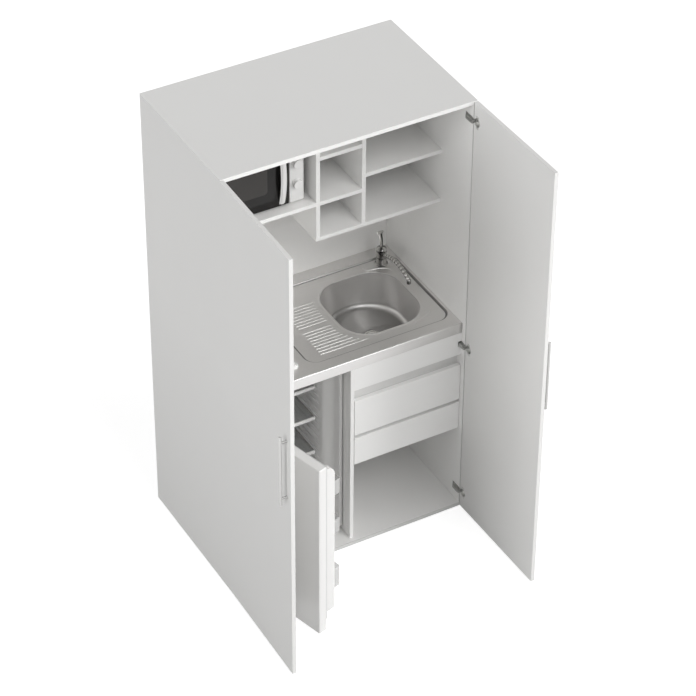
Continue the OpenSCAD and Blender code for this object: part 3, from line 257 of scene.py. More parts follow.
def curve_through(knots, count):
    """Smooth curve through knots: between two of them the cubic that takes each knot's
    slope from its neighbours, (next - previous) / 2."""
    slope = np.gradient(knots, axis=0)
    u = np.linspace(0, len(knots) - 1, count)
    i = np.minimum(u.astype(int), len(knots) - 2)
    t = (u - i)[:, None]
    blend = 3 * t ** 2 - 2 * t ** 3
    return ((1 - blend) * knots[i] + (t ** 3 - 2 * t ** 2 + t) * slope[i]
            + blend * knots[i + 1] + (t ** 3 - t ** 2) * slope[i + 1])


def swung(shape, pin, degrees):
    """A shape drawn with its door shut, turned about the upright line through the pin:
    x' = c x - s y, y' = s x + c y."""
    c, s = math.cos(math.radians(degrees)), math.sin(math.radians(degrees))
    x, y = (shape[0][:, :2] - np.asarray(pin)).T
    return xyz(pin[0] + c * x - s * y, pin[1] + s * x + c * y, shape[0][:, 2]), shape[1]


def mirrored(shape):
    """The same shape on the other side: x becomes -x, and the faces are turned round."""
    return shape[0] * np.array([-1.0, 1.0, 1.0]), [f[:, ::-1] for f in shape[1]]


# Pieces ---


def darken(mesh, dim):
    """Stores a value for each point in the attribute that darkens metal with painted shade and
    painted reflections.
    """
    mesh.attributes.new("dim", "FLOAT", "POINT").data.foreach_set(
        "value", np.asarray(dim, np.float32))


def placed(name, mesh, slot, angle=35):
    """An object with its finish, smooth but for edges sharper than the angle."""
    mesh.shade_smooth()
    mesh.set_sharp_from_angle(angle=math.radians(angle))
    obj = bpy.data.objects.new(name, mesh)
    bpy.context.scene.collection.objects.link(obj)
    mesh.materials.append(material(slot))
    return obj


def piece(name, shape, slot, body, replaces=(), angle=35, thickness=0.0, dim=None):
    """A new object from a shape. A closed shape has its normals turned outwards; one with
    a thickness is open, and Solidify fills it out."""
    mesh = bpy.data.meshes.new(name)
    points, faces = shape
    mesh.from_pydata(points.tolist(), [], [f for fs in faces for f in fs.tolist()])
    if dim is not None:
        darken(mesh, dim)
    bm = bmesh.new()
    bm.from_mesh(mesh)
    bmesh.ops.remove_doubles(bm, verts=bm.verts, dist=WELD)
    bmesh.ops.dissolve_degenerate(bm, edges=bm.edges, dist=SLIVER)
    if not thickness:
        bmesh.ops.recalc_face_normals(bm, faces=bm.faces)
    bm.to_mesh(mesh)
    bm.free()
    obj = placed(name, mesh, slot, angle)
    if thickness:
        solid = obj.modifiers.new("Thickness", "SOLIDIFY")
        solid.thickness, solid.offset, solid.use_even_offset = thickness, -1.0, True
    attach(obj, body)
    if replaces:
        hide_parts(*replaces)


def dressed(node, slot, edge, moves=(), dim=0.0):
    """A copy of a CAD node with its loose triangles merged into whole faces, its edges
    rounded by Bevel and a finish. It stands for the node. Each move (axis, from, to)
    shifts the points of one inner plane behind the mouth of the casing."""
    name, near, mouth = node + "_dressed", 2e-4, -0.1695
    source = frame["nodes"][node]
    mesh = source.data.copy()
    mesh.name = name
    mesh.materials.clear()
    bm = bmesh.new()
    bm.from_mesh(mesh)
    for axis, start, end in moves:
        for vert in bm.verts:
            if abs(vert.co[axis] - start) < near and vert.co.y > mouth:
                vert.co[axis] = end
    bmesh.ops.remove_doubles(bm, verts=bm.verts, dist=WELD)
    if moves:
        bmesh.ops.dissolve_degenerate(bm, edges=bm.edges, dist=10 * SLIVER)
    bmesh.ops.dissolve_limit(bm, angle_limit=math.radians(0.5), verts=bm.verts, edges=bm.edges)
    bm.to_mesh(mesh)
    bm.free()
    if "custom_normal" in mesh.attributes:
        mesh.attributes.remove(mesh.attributes["custom_normal"])
    # an even painted shade over every point of the copy
    if dim:
        darken(mesh, np.full(len(mesh.vertices), dim))
    obj = placed(name, mesh, slot)
    bevel = obj.modifiers.new("Edge", "BEVEL")
    bevel.width, bevel.segments = edge, 2
    bevel.limit_method, bevel.angle_limit = "ANGLE", math.radians(30)
    bevel.harden_normals = bevel.use_clamp_overlap = True
    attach(obj, source["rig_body"])
    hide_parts(node)


# Finishes ---


class Graph:
    """Short calls that add nodes to a tree; a value is a socket or a constant."""

    def __init__(self, tree):
        self.tree = tree

    def feed(self, socket, value):
        if isinstance(value, bpy.types.NodeSocket):
            self.tree.links.new(value, socket)
        else:
            socket.default_value = value

    def fill(self, target, values):
        for key, value in values.items():
            self.feed(target.inputs[key], value)

    def node(self, kind, *first, **values):
        """A node: properties or inputs by name, and its first inputs in order."""
        new = self.tree.nodes.new("ShaderNode" + kind)
        for key, value in values.items():
            if hasattr(new, key):
                setattr(new, key, value)
            else:
                self.feed(new.inputs[key], value)
        for socket, value in zip(new.inputs, first):
            self.feed(socket, value)
        return new

    def maths(self, kind, a, b, clamp=False):
        return self.node("Math", a, b, operation=kind, use_clamp=clamp).outputs[0]

    def times(self, a, b):
        return self.maths("MULTIPLY", a, b)

    def mix(self, share, a, b):
        """Colour a where share is 0 and b where it is 1."""
        new = self.node("Mix", share, data_type="RGBA")
        self.feed(new.inputs[6], a)
        self.feed(new.inputs[7], b)
        return new.outputs[2]

    def noise(self, place, scale, detail=2.0, rough=0.5):
        return self.node("TexNoise", Vector=place, Scale=scale, Detail=detail,
                         Roughness=rough).outputs["Fac"]

    def place(self):
        return self.node("TexCoord").outputs["Object"]


def coated(g, place, colour, tone, peel_scale, gloss, spread, painted_outer_shade):
    """Coated or lacquered surface: a cloud of darker tone, a peel of small bumps, and a
    roughness that wanders. The last input lays a grey painted shade on what faces the
    room: none inside the cupboard, so the inside stays lighter, and up to twice as much at
    the floor, so the outside grows darker towards the bottom."""
    dark = g.mix(g.times(g.noise(place, 3.2, 3.0), tone), colour, (0.52, 0.52, 0.50, 1.0))
    wander = g.times(g.maths("SUBTRACT", g.noise(place, 14.0, 4.0), 0.5), spread)
    x, y, z = g.node("SeparateXYZ", place).outputs
    half, front, top = INSIDE
    inside = g.times(g.maths("GREATER_THAN", y, front),
                     g.times(g.maths("LESS_THAN", g.maths("ABSOLUTE", x, 0.0), half),
                             g.maths("LESS_THAN", z, top)))
    low = g.maths("SUBTRACT", 1.0, g.maths("DIVIDE", z, 1.1), True)
    # painted shade: only outside the cupboard, and growing towards the floor
    painted_outer_shade = g.times(painted_outer_shade, g.times(g.maths("SUBTRACT", 1.0, inside), g.maths("ADD", low, 1.0)))
    return (g.mix(painted_outer_shade, dark, (0.35, 0.35, 0.34, 1.0)), g.maths("ADD", gloss, wander, True),
            g.noise(place, peel_scale, 1.5))


def brushed(g, place, colour, stretch, streak, gloss):
    """Metal rubbed in one direction: stretched noise gives streaks of tone, roughness and
    height. The painted-shade point attribute, where a mesh has it, darkens grooves, bends,
    recesses and sides turned from the lamps with painted shade and painted reflections."""
    along = g.node("VectorMath", place, stretch, operation="MULTIPLY").outputs[0]
    streaks = g.noise(along, 1.0, 3.0, 0.6)
    share = g.times(streaks, streak)
    dim = g.node("Attribute", attribute_name="dim").outputs["Fac"]
    wander = g.maths("ADD", g.times(share, 0.5), g.times(g.noise(place, 7.0, 3.0), 0.08))
    # painted shade and painted reflections mix the metal towards near black
    return (g.mix(dim, g.mix(share, colour, (0.12, 0.12, 0.12, 1.0)),
                  (0.015, 0.015, 0.014, 1.0)), g.maths("ADD", gloss, wander, True), streaks)


def grain(g, place, light, dark, ring_scale):
    """Timber: rings round a line along x, bent by noise, with dark pores along it."""
    along = g.node("VectorMath", place, (0.08, 1.0, 1.0), operation="MULTIPLY").outputs[0]
    ring = g.node("TexWave", wave_type="RINGS", rings_direction="X", Vector=along,
                  Scale=ring_scale, Distortion=4.0, Detail=3.0).outputs["Fac"]
    pores = g.noise(along, 900.0)
    pore = g.times(g.maths("GREATER_THAN", pores, 0.62), 0.35)
    return (g.mix(pore, g.mix(ring, light, dark), (0.2, 0.12, 0.06, 1.0)),
            g.maths("ADD", 0.5, g.times(pores, 0.2)), g.maths("SUBTRACT", ring, pore))


def cast(g, place, colour, pit_scale, gloss):
    """Cast or pressed dark metal: cells of slightly different tone and small pits."""
    cloud = g.noise(place, 30.0, 4.0)
    wander = g.times(g.maths("SUBTRACT", cloud, 0.5), 0.3)
    return (g.mix(g.times(cloud, 0.45), colour, (0.16, 0.15, 0.14, 1.0)),
            g.maths("ADD", gloss, wander, True),
            g.node("TexVoronoi", Vector=place, Scale=pit_scale).outputs["Distance"])


def spangle(g, place, colour, crystal_scale):
    """Zinc-coated sheet: flat crystals of differing tone over a metal base."""
    cells = g.node("TexVoronoi", Vector=place, Scale=crystal_scale).outputs["Color"]
    tone = g.node("SeparateColor", cells).outputs[0]
    return (g.mix(g.times(tone, 0.35), colour, (0.3, 0.31, 0.33, 1.0)),
            g.maths("ADD", 0.28, g.times(tone, 0.2)), g.noise(place, 500.0))


# Each shader group: what builds it, and its inputs; one not named in KINDS is a Float
SHADER_GROUPS = {
    "coated_surface": (coated, "Colour", "Tone", "Peel Scale", "Gloss", "Gloss Spread",
                       "Film"),
    "brushed_metal": (brushed, "Colour", "Stretch", "Streak", "Gloss"),
    "timber_grain": (grain, "Light", "Dark", "Ring Scale"),
    "cast_surface": (cast, "Colour", "Pit Scale", "Gloss"),
    "zinc_spangle": (spangle, "Colour", "Crystal Scale"),
}
KINDS = {"Colour": "Color", "Light": "Color", "Dark": "Color", "Stretch": "Vector"}

# Each finish: its group, the values of the group's inputs in order, the depth of the
# bumps in metres, and constants of the shader. A colour by name is one of the settings.
COAT, METAL, TIMBER, CAST = "coated_surface", "brushed_metal", "timber_grain", "cast_surface"
FINISHES = {
    # the last value of white_board is the painted shade on what faces the room
    "white_board": (COAT, ("board", 0.05, 900.0, 0.58, 0.10, 0.18), 2e-5,
                    {"Specular IOR Level": 0.22}),
    "white_enamel": (COAT, ("enamel", 0.04, 420.0, 0.24, 0.08), 3e-5,
                     {"Coat Weight": 0.25, "Coat Roughness": 0.08}),
    "oven_enamel": (COAT, ((0.62, 0.62, 0.60, 1), 0.10, 520.0, 0.30, 0.10), 3e-5, {}),
    "lining_plastic": (COAT, ("lining", 0.04, 260.0, 0.33, 0.06), 3e-5, {}),
    "knob_white": (COAT, ((0.80, 0.80, 0.79, 1), 0.05, 1500.0, 0.34, 0.08), 3e-5, {}),
    "pipe_plastic": (COAT, ((0.78, 0.78, 0.76, 1), 0.10, 500.0, 0.45, 0.10), 4e-5, {}),
    "seal_rubber": (COAT, ((0.60, 0.60, 0.60, 1), 0.15, 1200.0, 0.62, 0.12), 5e-5,
                    {"Specular IOR Level": 0.3}),
    "oven_glass": (COAT, ("glass", 0.012, 60.0, 0.10, 0.03), 4e-6,
                   {"Specular IOR Level": 0.22}),
    "oven_window": (COAT, ((0.038, 0.035, 0.033, 1), 0.02, 60.0, 0.12, 0.03), 4e-6,
                    {"Specular IOR Level": 0.24}),
    "plate_glass": (COAT, ((0.70, 0.73, 0.72, 1), 0.03, 90.0, 0.05, 0.04), 1e-5,
                    {"Alpha": 0.42}),
    "shelf_glass": (COAT, ((0.36, 0.37, 0.36, 1), 0.05, 90.0, 0.06, 0.05), 1e-5,
                    {"Alpha": 0.40}),
    "clear_plastic": (COAT, ((0.78, 0.78, 0.77, 1), 0.05, 200.0, 0.12, 0.08), 2e-5,
                      {"Alpha": 0.38}),
    "stainless": (METAL, ("steel", (9.0, 620.0, 620.0), 0.10, 0.31), 4e-6,
                  {"Metallic": 0.9}),
    "tap_chrome": (METAL, ("chrome", (160.0, 160.0, 160.0), 0.08, 0.07), 4e-6,
                   {"Metallic": 1.0}),
    "hinge_metal": (METAL, ((0.74, 0.74, 0.72, 1), (60.0, 400.0, 400.0), 0.15, 0.30), 8e-6,
                    {"Metallic": 0.9}),
    "handle_metal": (METAL, ((0.66, 0.66, 0.65, 1), (500.0, 500.0, 8.0), 0.14, 0.38), 8e-6,
                     {"Metallic": 0.85}),
    "zinc_sheet": ("zinc_spangle", ((0.55, 0.56, 0.57, 1), 90.0), 1e-5, {"Metallic": 1.0}),
    "hotplate_iron": (CAST, ((0.028, 0.027, 0.026, 1), 1500.0, 0.52), 8e-5, {}),
    "compressor_black": (CAST, ((0.012, 0.012, 0.013, 1), 700.0, 0.35), 5e-5, {}),
    "pine": (TIMBER, ((0.60, 0.42, 0.22, 1), (0.42, 0.26, 0.12, 1), 55.0), 1.5e-4, {}),
    "beech": (TIMBER, ((0.60, 0.40, 0.24, 1), (0.48, 0.30, 0.17, 1), 160.0), 1e-4, {}),
}


def shader_group(name):
    """A shader node group, built when first asked for."""
    if name in bpy.data.node_groups:
        return bpy.data.node_groups[name]
    build, *inputs = SHADER_GROUPS[name]
    tree = bpy.data.node_groups.new(name, "ShaderNodeTree")
    for way, labels in (("INPUT", inputs), ("OUTPUT", ("Colour", "Roughness", "Height"))):
        for label in labels:
            tree.interface.new_socket(label, in_out=way,
                                      socket_type="NodeSocket" + KINDS.get(label, "Float"))
    g = Graph(tree)
    given, out = tree.nodes.new("NodeGroupInput"), tree.nodes.new("NodeGroupOutput")
    results = build(g, g.place(), *given.outputs[:len(inputs)])
    for socket, value in zip(out.inputs, results):
        g.feed(socket, value)
    return tree


def material(slot):
    """The finish of a slot, built when first asked for: a Principled shader whose colour,
    roughness and bump come from a group, with each constant on the shader's own socket."""
    name = slot + "_finish"
    if name in bpy.data.materials:
        return bpy.data.materials[name]
    kind, values, bump, constants = FINISHES[slot]
    if isinstance(values[0], str):
        chosen = getattr(bpy.context.scene.kitchenette_colours, values[0])
        values = ((*chosen, 1.0), *values[1:])
    mat = bpy.data.materials.new(name)
    mat.use_nodes = True
    mat.diffuse_color = values[0]
    g = Graph(mat.node_tree)
    inner = g.node("Group", node_tree=shader_group(kind))
    for socket, value in zip(inner.inputs, values):
        g.feed(socket, value)
    lift = g.node("Bump", Distance=bump, Strength=0.6, Height=inner.outputs["Height"])
    bsdf = mat.node_tree.nodes["Principled BSDF"]
    g.fill(bsdf, {"Base Color": inner.outputs["Colour"], "Normal": lift.outputs["Normal"],
                  "Roughness": inner.outputs["Roughness"], **constants})
    return mat


# Operators ---


class KITCHENETTE_OT_stage(bpy.types.Operator):
    """Set up the camera, the light, the white surroundings and the floor."""

    bl_idname = "kitchenette.stage"
    bl_label = "Stage"

    # Each soft lamp's side, counted from the front to the right, and height from level
    LAMPS = {"front": (15, 40), "left": (-75, 12), "right": (45, 12), "fill": (-45, 40),
             "rear": (180, 8)}
    LAMP_ANGLE = 35
    GLOW = 0.77

    def execute(self, context):
        scene, light = context.scene, context.scene.kitchenette_light
        scene.view_settings.view_transform = "Standard"
        self.camera(scene)
        self.world(scene, light.sky)
        for name, (side, height) in self.LAMPS.items():
            data = bpy.data.lights.new(name + "_lamp", "SUN")
            data.energy, data.angle = getattr(light, name), math.radians(self.LAMP_ANGLE)
            lamp = bpy.data.objects.new(name + "_lamp", data)
            lamp.rotation_euler = (math.radians(90 - height), 0, math.radians(side))
            scene.collection.objects.link(lamp)
        self.floor(scene, light.floor)
        return {"FINISHED"}

    def camera(self, scene):
        """Camera axes from its turn a, height e and roll r: the view runs against
        (sin a cos e, -cos a cos e, sin e)."""
        a, e, r = (math.radians(v) for v in (-29.533, 38.11, 0.368))
        back = Vector((math.sin(a) * math.cos(e), -math.cos(a) * math.cos(e), math.sin(e)))
        right = (-back).cross(Vector((0, 0, 1))).normalized()
        up = right.cross(-back)
        axes = Matrix((math.cos(r) * right + math.sin(r) * up,
                       math.cos(r) * up - math.sin(r) * right, back))
        data = bpy.data.cameras.new("camera")
        data.lens, data.sensor_width, data.clip_end = 150.749, 36.0, 100.0
        cam = bpy.data.objects.new("camera", data)
        cam.matrix_world = (Matrix.Translation((-4.19218, -7.69834, 7.64828))
                            @ axes.transposed().to_4x4())
        scene.collection.objects.link(cam)
        scene.camera = cam

    def world(self, scene, sky):
        """Even light of one strength, and plain white for what the camera, gloss and
        glass see."""
        world = bpy.data.worlds.new("surroundings")
        world.use_nodes = True
        g = Graph(world.node_tree)
        g.fill(world.node_tree.nodes["Background"], {
            "Color": (1, 1, 1, 1),
            "Strength": g.maths("ADD", g.times(self.seen(g), 1.0 - sky), sky)})
        scene.world = world

    def seen(self, g):
        """1 for camera, glossy and transmission rays, else 0."""
        path = g.node("LightPath").outputs
        return g.maths("MAXIMUM", path["Is Transmission Ray"],
                       g.maths("MAXIMUM", path["Is Camera Ray"], path["Is Glossy Ray"]))

    def floor(self, scene, shade):
        """A wide disc of rings just below the feet; for the camera it glows up to white
        where no shadow falls."""
        r, a = np.array([0.01, 1.0, 2.0, 4.0, 9.0, 30.0])[:, None], circle(96)
        points = xyz(r * np.cos(a), r * np.sin(a), -0.0005).reshape(-1, 3)
        faces = grid_faces(len(r), len(a))[:, ::-1].tolist()
        mesh = bpy.data.meshes.new("floor")
        mesh.from_pydata(points.tolist(), [], faces + [list(range(len(a)))])
        obj = bpy.data.objects.new("floor", mesh)
        scene.collection.objects.link(obj)
        mat = bpy.data.materials.new("floor")
        mat.use_nodes = True
        g = Graph(mat.node_tree)
        cloud = g.times(g.noise(g.place(), 2.0, 3.0), 0.04)
        g.fill(mat.node_tree.nodes["Principled BSDF"], {
            "Base Color": g.mix(cloud, (*shade, 1.0), (0.42, 0.42, 0.42, 1.0)),
            "Roughness": 0.9, "Specular IOR Level": 0.1, "Emission Color": (1, 1, 1, 1),
            "Emission Strength": g.times(self.seen(g), self.GLOW)})
        mesh.materials.append(mat)
        obj.visible_shadow = True


class KITCHENETTE_OT_carcass(bpy.types.Operator):
    """Dress the boards of the cupboard, its shelves and the dowels in them."""

    bl_idname = "kitchenette.carcass"
    bl_label = "Carcass and shelves"

    def execute(self, context):
        for name in ("side_left", "side_right", "top_panel", "bottom_panel", "back_panel",
                     "divider", "microwave_shelf", "shelf_divider_left",
                     "shelf_divider_right", "shelf_unit_base", "inner_shelves"):
            dressed(name, "white_board", context.scene.kitchenette_sizes.board_edge)
        dressed("panel_dowels", "beech", 0.0004)
        return {"FINISHED"}


class KITCHENETTE_OT_doors(bpy.types.Operator):
    """Dress the two cupboard doors, and make their bar handles."""

    bl_idname = "kitchenette.doors"
    bl_label = "Doors and handles"

    def execute(self, context):
        handle, dim = self.handle()
        left = swung(handle, *LEFT_DOOR)
        for side, shape in (("left", left), ("right", mirrored(left))):
            dressed(side + "_door", "white_board",
                    context.scene.kitchenette_sizes.board_edge)
            piece(side + "_bar_handle", shape, "handle_metal", side + "_leaf",
                  (side + "_handle",), dim=dim)
        return {"FINISHED"}

    def handle(self):
        """A round bar with rounded ends on two posts, drawn with the door shut; painted shade
        darkens the posts, and the bar a little.
        """
        x, face, z, long = -0.032, -0.332, 0.982, 0.312
        at, share = rounded_ends(long, 0.0015, 6, 0.5)
        r = 0.006 * np.sqrt(share)
        bar = sweep(xyz(x, face - 0.026, z - long / 2 + at), (1, 0, 0), (0, -1, 0), r, r, 32)
        post = mm((0, 0), (6.5, 0), (6.5, -1.2), (5.2, -2.2), (4.5, -4), (4.5, -26), (0, -26))
        parts = [bar, *(lathe(post, (x, face, z + s), "y", 28) for s in (-0.128, 0.128))]
        # painted shade: 0.10 on the bar, 0.4 on each post
        dim = [np.full(len(p), v) for (p, _), v in zip(parts, (0.10, 0.4, 0.4))]
        return joined(*parts), np.concatenate(dim)


class KITCHENETTE_OT_door_hinges(bpy.types.Operator):
    """Dress the hinge arms and cups, and drive screws into their plates."""

    bl_idname = "kitchenette.door_hinges"
    bl_label = "Door hinges"

    def execute(self, context):
        # painted shade darkens the arms evenly, and the cups a little
        dressed("hinge_arms", "hinge_metal", 0.0006, dim=0.42)
        dressed("left_hinge_cups", "hinge_metal", 0.0003, dim=0.08)
        dressed("right_hinge_cups", "hinge_metal", 0.0003, dim=0.08)
        plates = self.screws(-0.502, -0.278, 0.0072, "x")
        cups = swung(self.screws(-0.4995, -0.315, 0.023, "y"), *LEFT_DOOR)
        piece("hinge_plate_screws", joined(plates, mirrored(plates)), "hinge_metal", "cabinet")
        piece("left_cup_screws", cups, "hinge_metal", "left_leaf")
        piece("right_cup_screws", mirrored(cups), "hinge_metal", "right_leaf")
        return {"FINISHED"}

    def screws(self, x, y, gap, axis):
        """Two domed heads at each hinge, r = R sin t, h = H cos t, each with a round
        socket in its middle."""
        t = np.linspace(np.pi / 2, 0.35, 7)
        profile = np.concatenate([mm((0, -0.6), (3.2, -0.6)),
                                  xyz(0.0032 * np.sin(t), 0.0011 * np.cos(t)),
                                  mm((1.1, 0.4), (0, 0.4))])
        return joined(*[lathe(profile, (x, y, z + s), axis, 20)
                        for z in HINGE_HEIGHTS for s in (-gap, gap)])


class KITCHENETTE_OT_worktop(bpy.types.Operator):
    """Press the steel top with its folded front, recess, bowl, drainer ribs and the
    raised ledges, and dress the timber rails below it."""

    bl_idname = "kitchenette.worktop"
    bl_label = "Steel top and bowl"

    RECESS = (0.1825, 0.0)
    REAR = 0.2  # the border and the slope behind this y get their own painted shade
    BOWL_ROUNDER, WALL_FOOT, FILLET, BOWL_FLOOR = 0.045, 0.771, 0.022, 0.7488

    def execute(self, context):
        sizes = context.scene.kitchenette_sizes
        (top, dim), fold = self.top(sizes.rim_rise), self.fold()
        # the front fold gets an even painted shade of 0.14
        piece("pressed_top", joined(top, fold), "stainless", "cabinet",
              ("steel_worktop", "sink_bowl"), 40, sizes.sheet,
              np.concatenate([dim, np.full(len(fold[0]), 0.14)]))
        piece("drainer_ribs", joined(*self.ribs(sizes.rib_rise)), "stainless", "cabinet")
        piece("pressed_ledges", joined(*self.ledges()), "stainless", "cabinet")
        dressed("worktop_frame", "pine", 0.001)
        return {"FINISHED"}

    def bowl_ring(self, grow, z, rounder=0.0):
        """The bowl's outline grown sideways, with its corners rounder by some metres."""
        return flat_ring(outline(0.168 + grow, 0.177 + grow, 0.118 + grow + rounder), z, BOWL)

    def top(self, rise):
        """Rings from the border inwards, each with its own painted shade: a little on the
        border at the back, much on the recess slope and its foot (less at the back), more on
        the bowl walls towards their foot, on the fillet less at the right, where a painted
        highlight stays, and most on the floor. The recess slope follows a cosine step; the
        bowl wall leans in by 9 mm while its corners grow rounder as k^1.5, and a quarter
        circle leads to the floor."""
        out, dim = [], []

        def add(ring, dark):
            out.append(ring)
            dim.append(np.broadcast_to(dark, len(ring)))

        for half_x, half_y, corner in mm((503.5, 289, 1.5), (502.8, 288.3, 0.8)):
            ring = flat_ring(outline(half_x, half_y, corner), TOP, (0.0, 0.0030))
            add(ring, 0.10 * (ring[:, 1] > self.REAR))
        # painted shade on the recess slope and at its foot, less behind REAR
        for grow, k, dark in ((3.2, 0, 0.0), (2, 0.03, 0.45), (0.8, 0.2, 0.66),
                              (-0.5, 0.5, 0.70), (-1.8, 0.8, 0.74), (-3.2, 0.97, 0.76),
                              (-5.2, 1, 0.70), (-6.8, 1, 0.0)):
            grow /= 1000
            ring = flat_ring(outline(0.3075 + grow, 0.234 + grow, 0.050 + grow),
                             TOP - (TOP - DECK) * smooth(k), self.RECESS)
            add(ring, dark * np.where(ring[:, 1] > self.REAR, 0.62, 1.0))
        for grow, up in ((10.5, 0), (9, 0.1), (7, 0.55), (5.5, 0.92), (4.2, 1), (2.8, 0.95),
                         (1.5, 0.7)):
            add(self.bowl_ring(grow / 1000, DECK + rise * up), 0.0)
        for t in quarter(5, 0.2):
            add(self.bowl_ring(0.0010 - 0.0018 * math.sin(t),
                               DECK + rise * 0.6 - 0.0016 * (1 - math.cos(t))), 0.1 + 0.1 * t)
        brink = DECK - 0.001
        # painted shade on the bowl walls, growing towards their foot
        for k in np.linspace(0.02, 1, 14):
            add(self.bowl_ring(-0.0008 - 0.0082 * k, brink - (brink - self.WALL_FOOT) * k,
                               self.BOWL_ROUNDER * k ** 1.5), 0.14 * k)
        for t in quarter(12, 0.08):
            ring = self.bowl_ring(-0.009 - self.FILLET * (1 - math.cos(t)),
                                  self.WALL_FOOT - 0.0222 * math.sin(t), self.BOWL_ROUNDER)
            # painted shade on the fillet, dark at the left and middle, light at the right for
            # a painted highlight
            right = np.clip((ring[:, 0] - BOWL[0] - 0.02) / 0.10, 0, 1)
            add(ring, 0.25 + (0.20 - 0.44 * right) * math.sin(2 * t) + 0.35 * t / 1.571)
        inner = self.bowl_ring(-0.009 - self.FILLET, self.BOWL_FLOOR, self.BOWL_ROUNDER)
        hole = flat_ring(outline(0.026, 0.026, 0.02599), 0.7484, DRAIN)
        # the bowl floor gets the most painted shade
        for k in np.linspace(0.15, 1, 7):
            add(inner * (1 - k) + hole * k, 0.60)
        return rings(out, capped=False), np.concatenate(dim)

    def fold(self):
        """Front fold: a profile of arcs and straights carried along x."""
        t = quarter(7)
        profile = np.concatenate([
            xyz(-0.2860 - 0.0020 * np.sin(t), 0.8980 + 0.0020 * np.cos(t)),
            xyz(-0.2865 - 0.0015 * np.cos(t), 0.8565 - 0.0015 * np.sin(t)), mm((-280, 855))])
        x = np.linspace(-0.5035, 0.5035, 60)
        points = xyz(x, profile[:, :1], profile[:, 1:]).reshape(-1, 3)
        return points, [grid_faces(len(profile), len(x), closed=False)]

    def ribs(self, rise):
        """Seventeen round-ended bars half sunk in the deck, with a gap in their middle;
        each ends where it meets the bowl's outline grown by 27 mm."""
        made, sunk = [], 0.0004
        for i in (*range(9), *range(10, 18)):
            y = -0.190 + 0.0175 * i
            over = max(0.0, abs(y - BOWL[1]) - 0.059)
            at, share = rounded_ends(0.270 - math.sqrt(max(0.0, 0.145 ** 2 - over ** 2)),
                                     0.0045, 9)
            made.append(sweep(xyz(at - 0.057, y, DECK - sunk), (0, 1, 0), (0, 0, 1),
                              0.0033 * share, (rise + sunk) * share, 14))
        return made

    def ledges(self):
        """Raised lines that edge the two tap ledges, mirror images of each other: smooth
        curves through seven points, up to 5 mm wide and 2.2 mm high."""
        x, y = mm((349.4, 208), (350, 195), (357.3, 183), (381.9, 179), (410.8, 171.5),
                  (431.3, 157), (443.1, 138)).T
        made = []
        for side in (1, -1):
            path = curve_through(xyz(x, BOWL[1] + side * (y - BOWL[1])), 64)
            path = xyz(*path.T, DECK)
            step = np.gradient(path, axis=0)
            across = np.cross((0, 0, 1), step / np.linalg.norm(step, axis=1)[:, None])
            share = np.sin(np.linspace(0.02, np.pi - 0.02, len(path))) ** 0.25
            made.append(sweep(path, across, (0, 0, 1), 0.0027 * share, 0.0022 * share, 14))
        return made


class KITCHENETTE_OT_waste(bpy.types.Operator):
    """Make the drain flange, and dress the strainer and the trap under the bowl."""

    bl_idname = "kitchenette.waste"
    bl_label = "Drain and trap"

    def execute(self, context):
        """Flange: a flat dished ring with a rounded lip, and the cup and tube below."""
        profile = mm((34.5, -0.3), (35, 0.5), (34.5, 1.4), (33, 1.6), (30, 1.2), (27, 0.2),
                     (24.5, -1), (22.8, -4), (22.6, -13.8), (15.2, -14.2), (15, -38),
                     (24.3, -38), (24.5, -36.5), (24.5, -10.5), (33, -10.2), (33, -1.6),
                     (24.5, -1.3), (34.5, -0.3))
        piece("drain_ring", lathe(profile, (*DRAIN, 0.749), "z", 72), "tap_chrome",
              "cabinet", ("drain_flange",))
        dressed("strainer_basket", "stainless", 0.0003)
        dressed("waste_trap", "pipe_plastic", 0.0010)
        return {"FINISHED"}


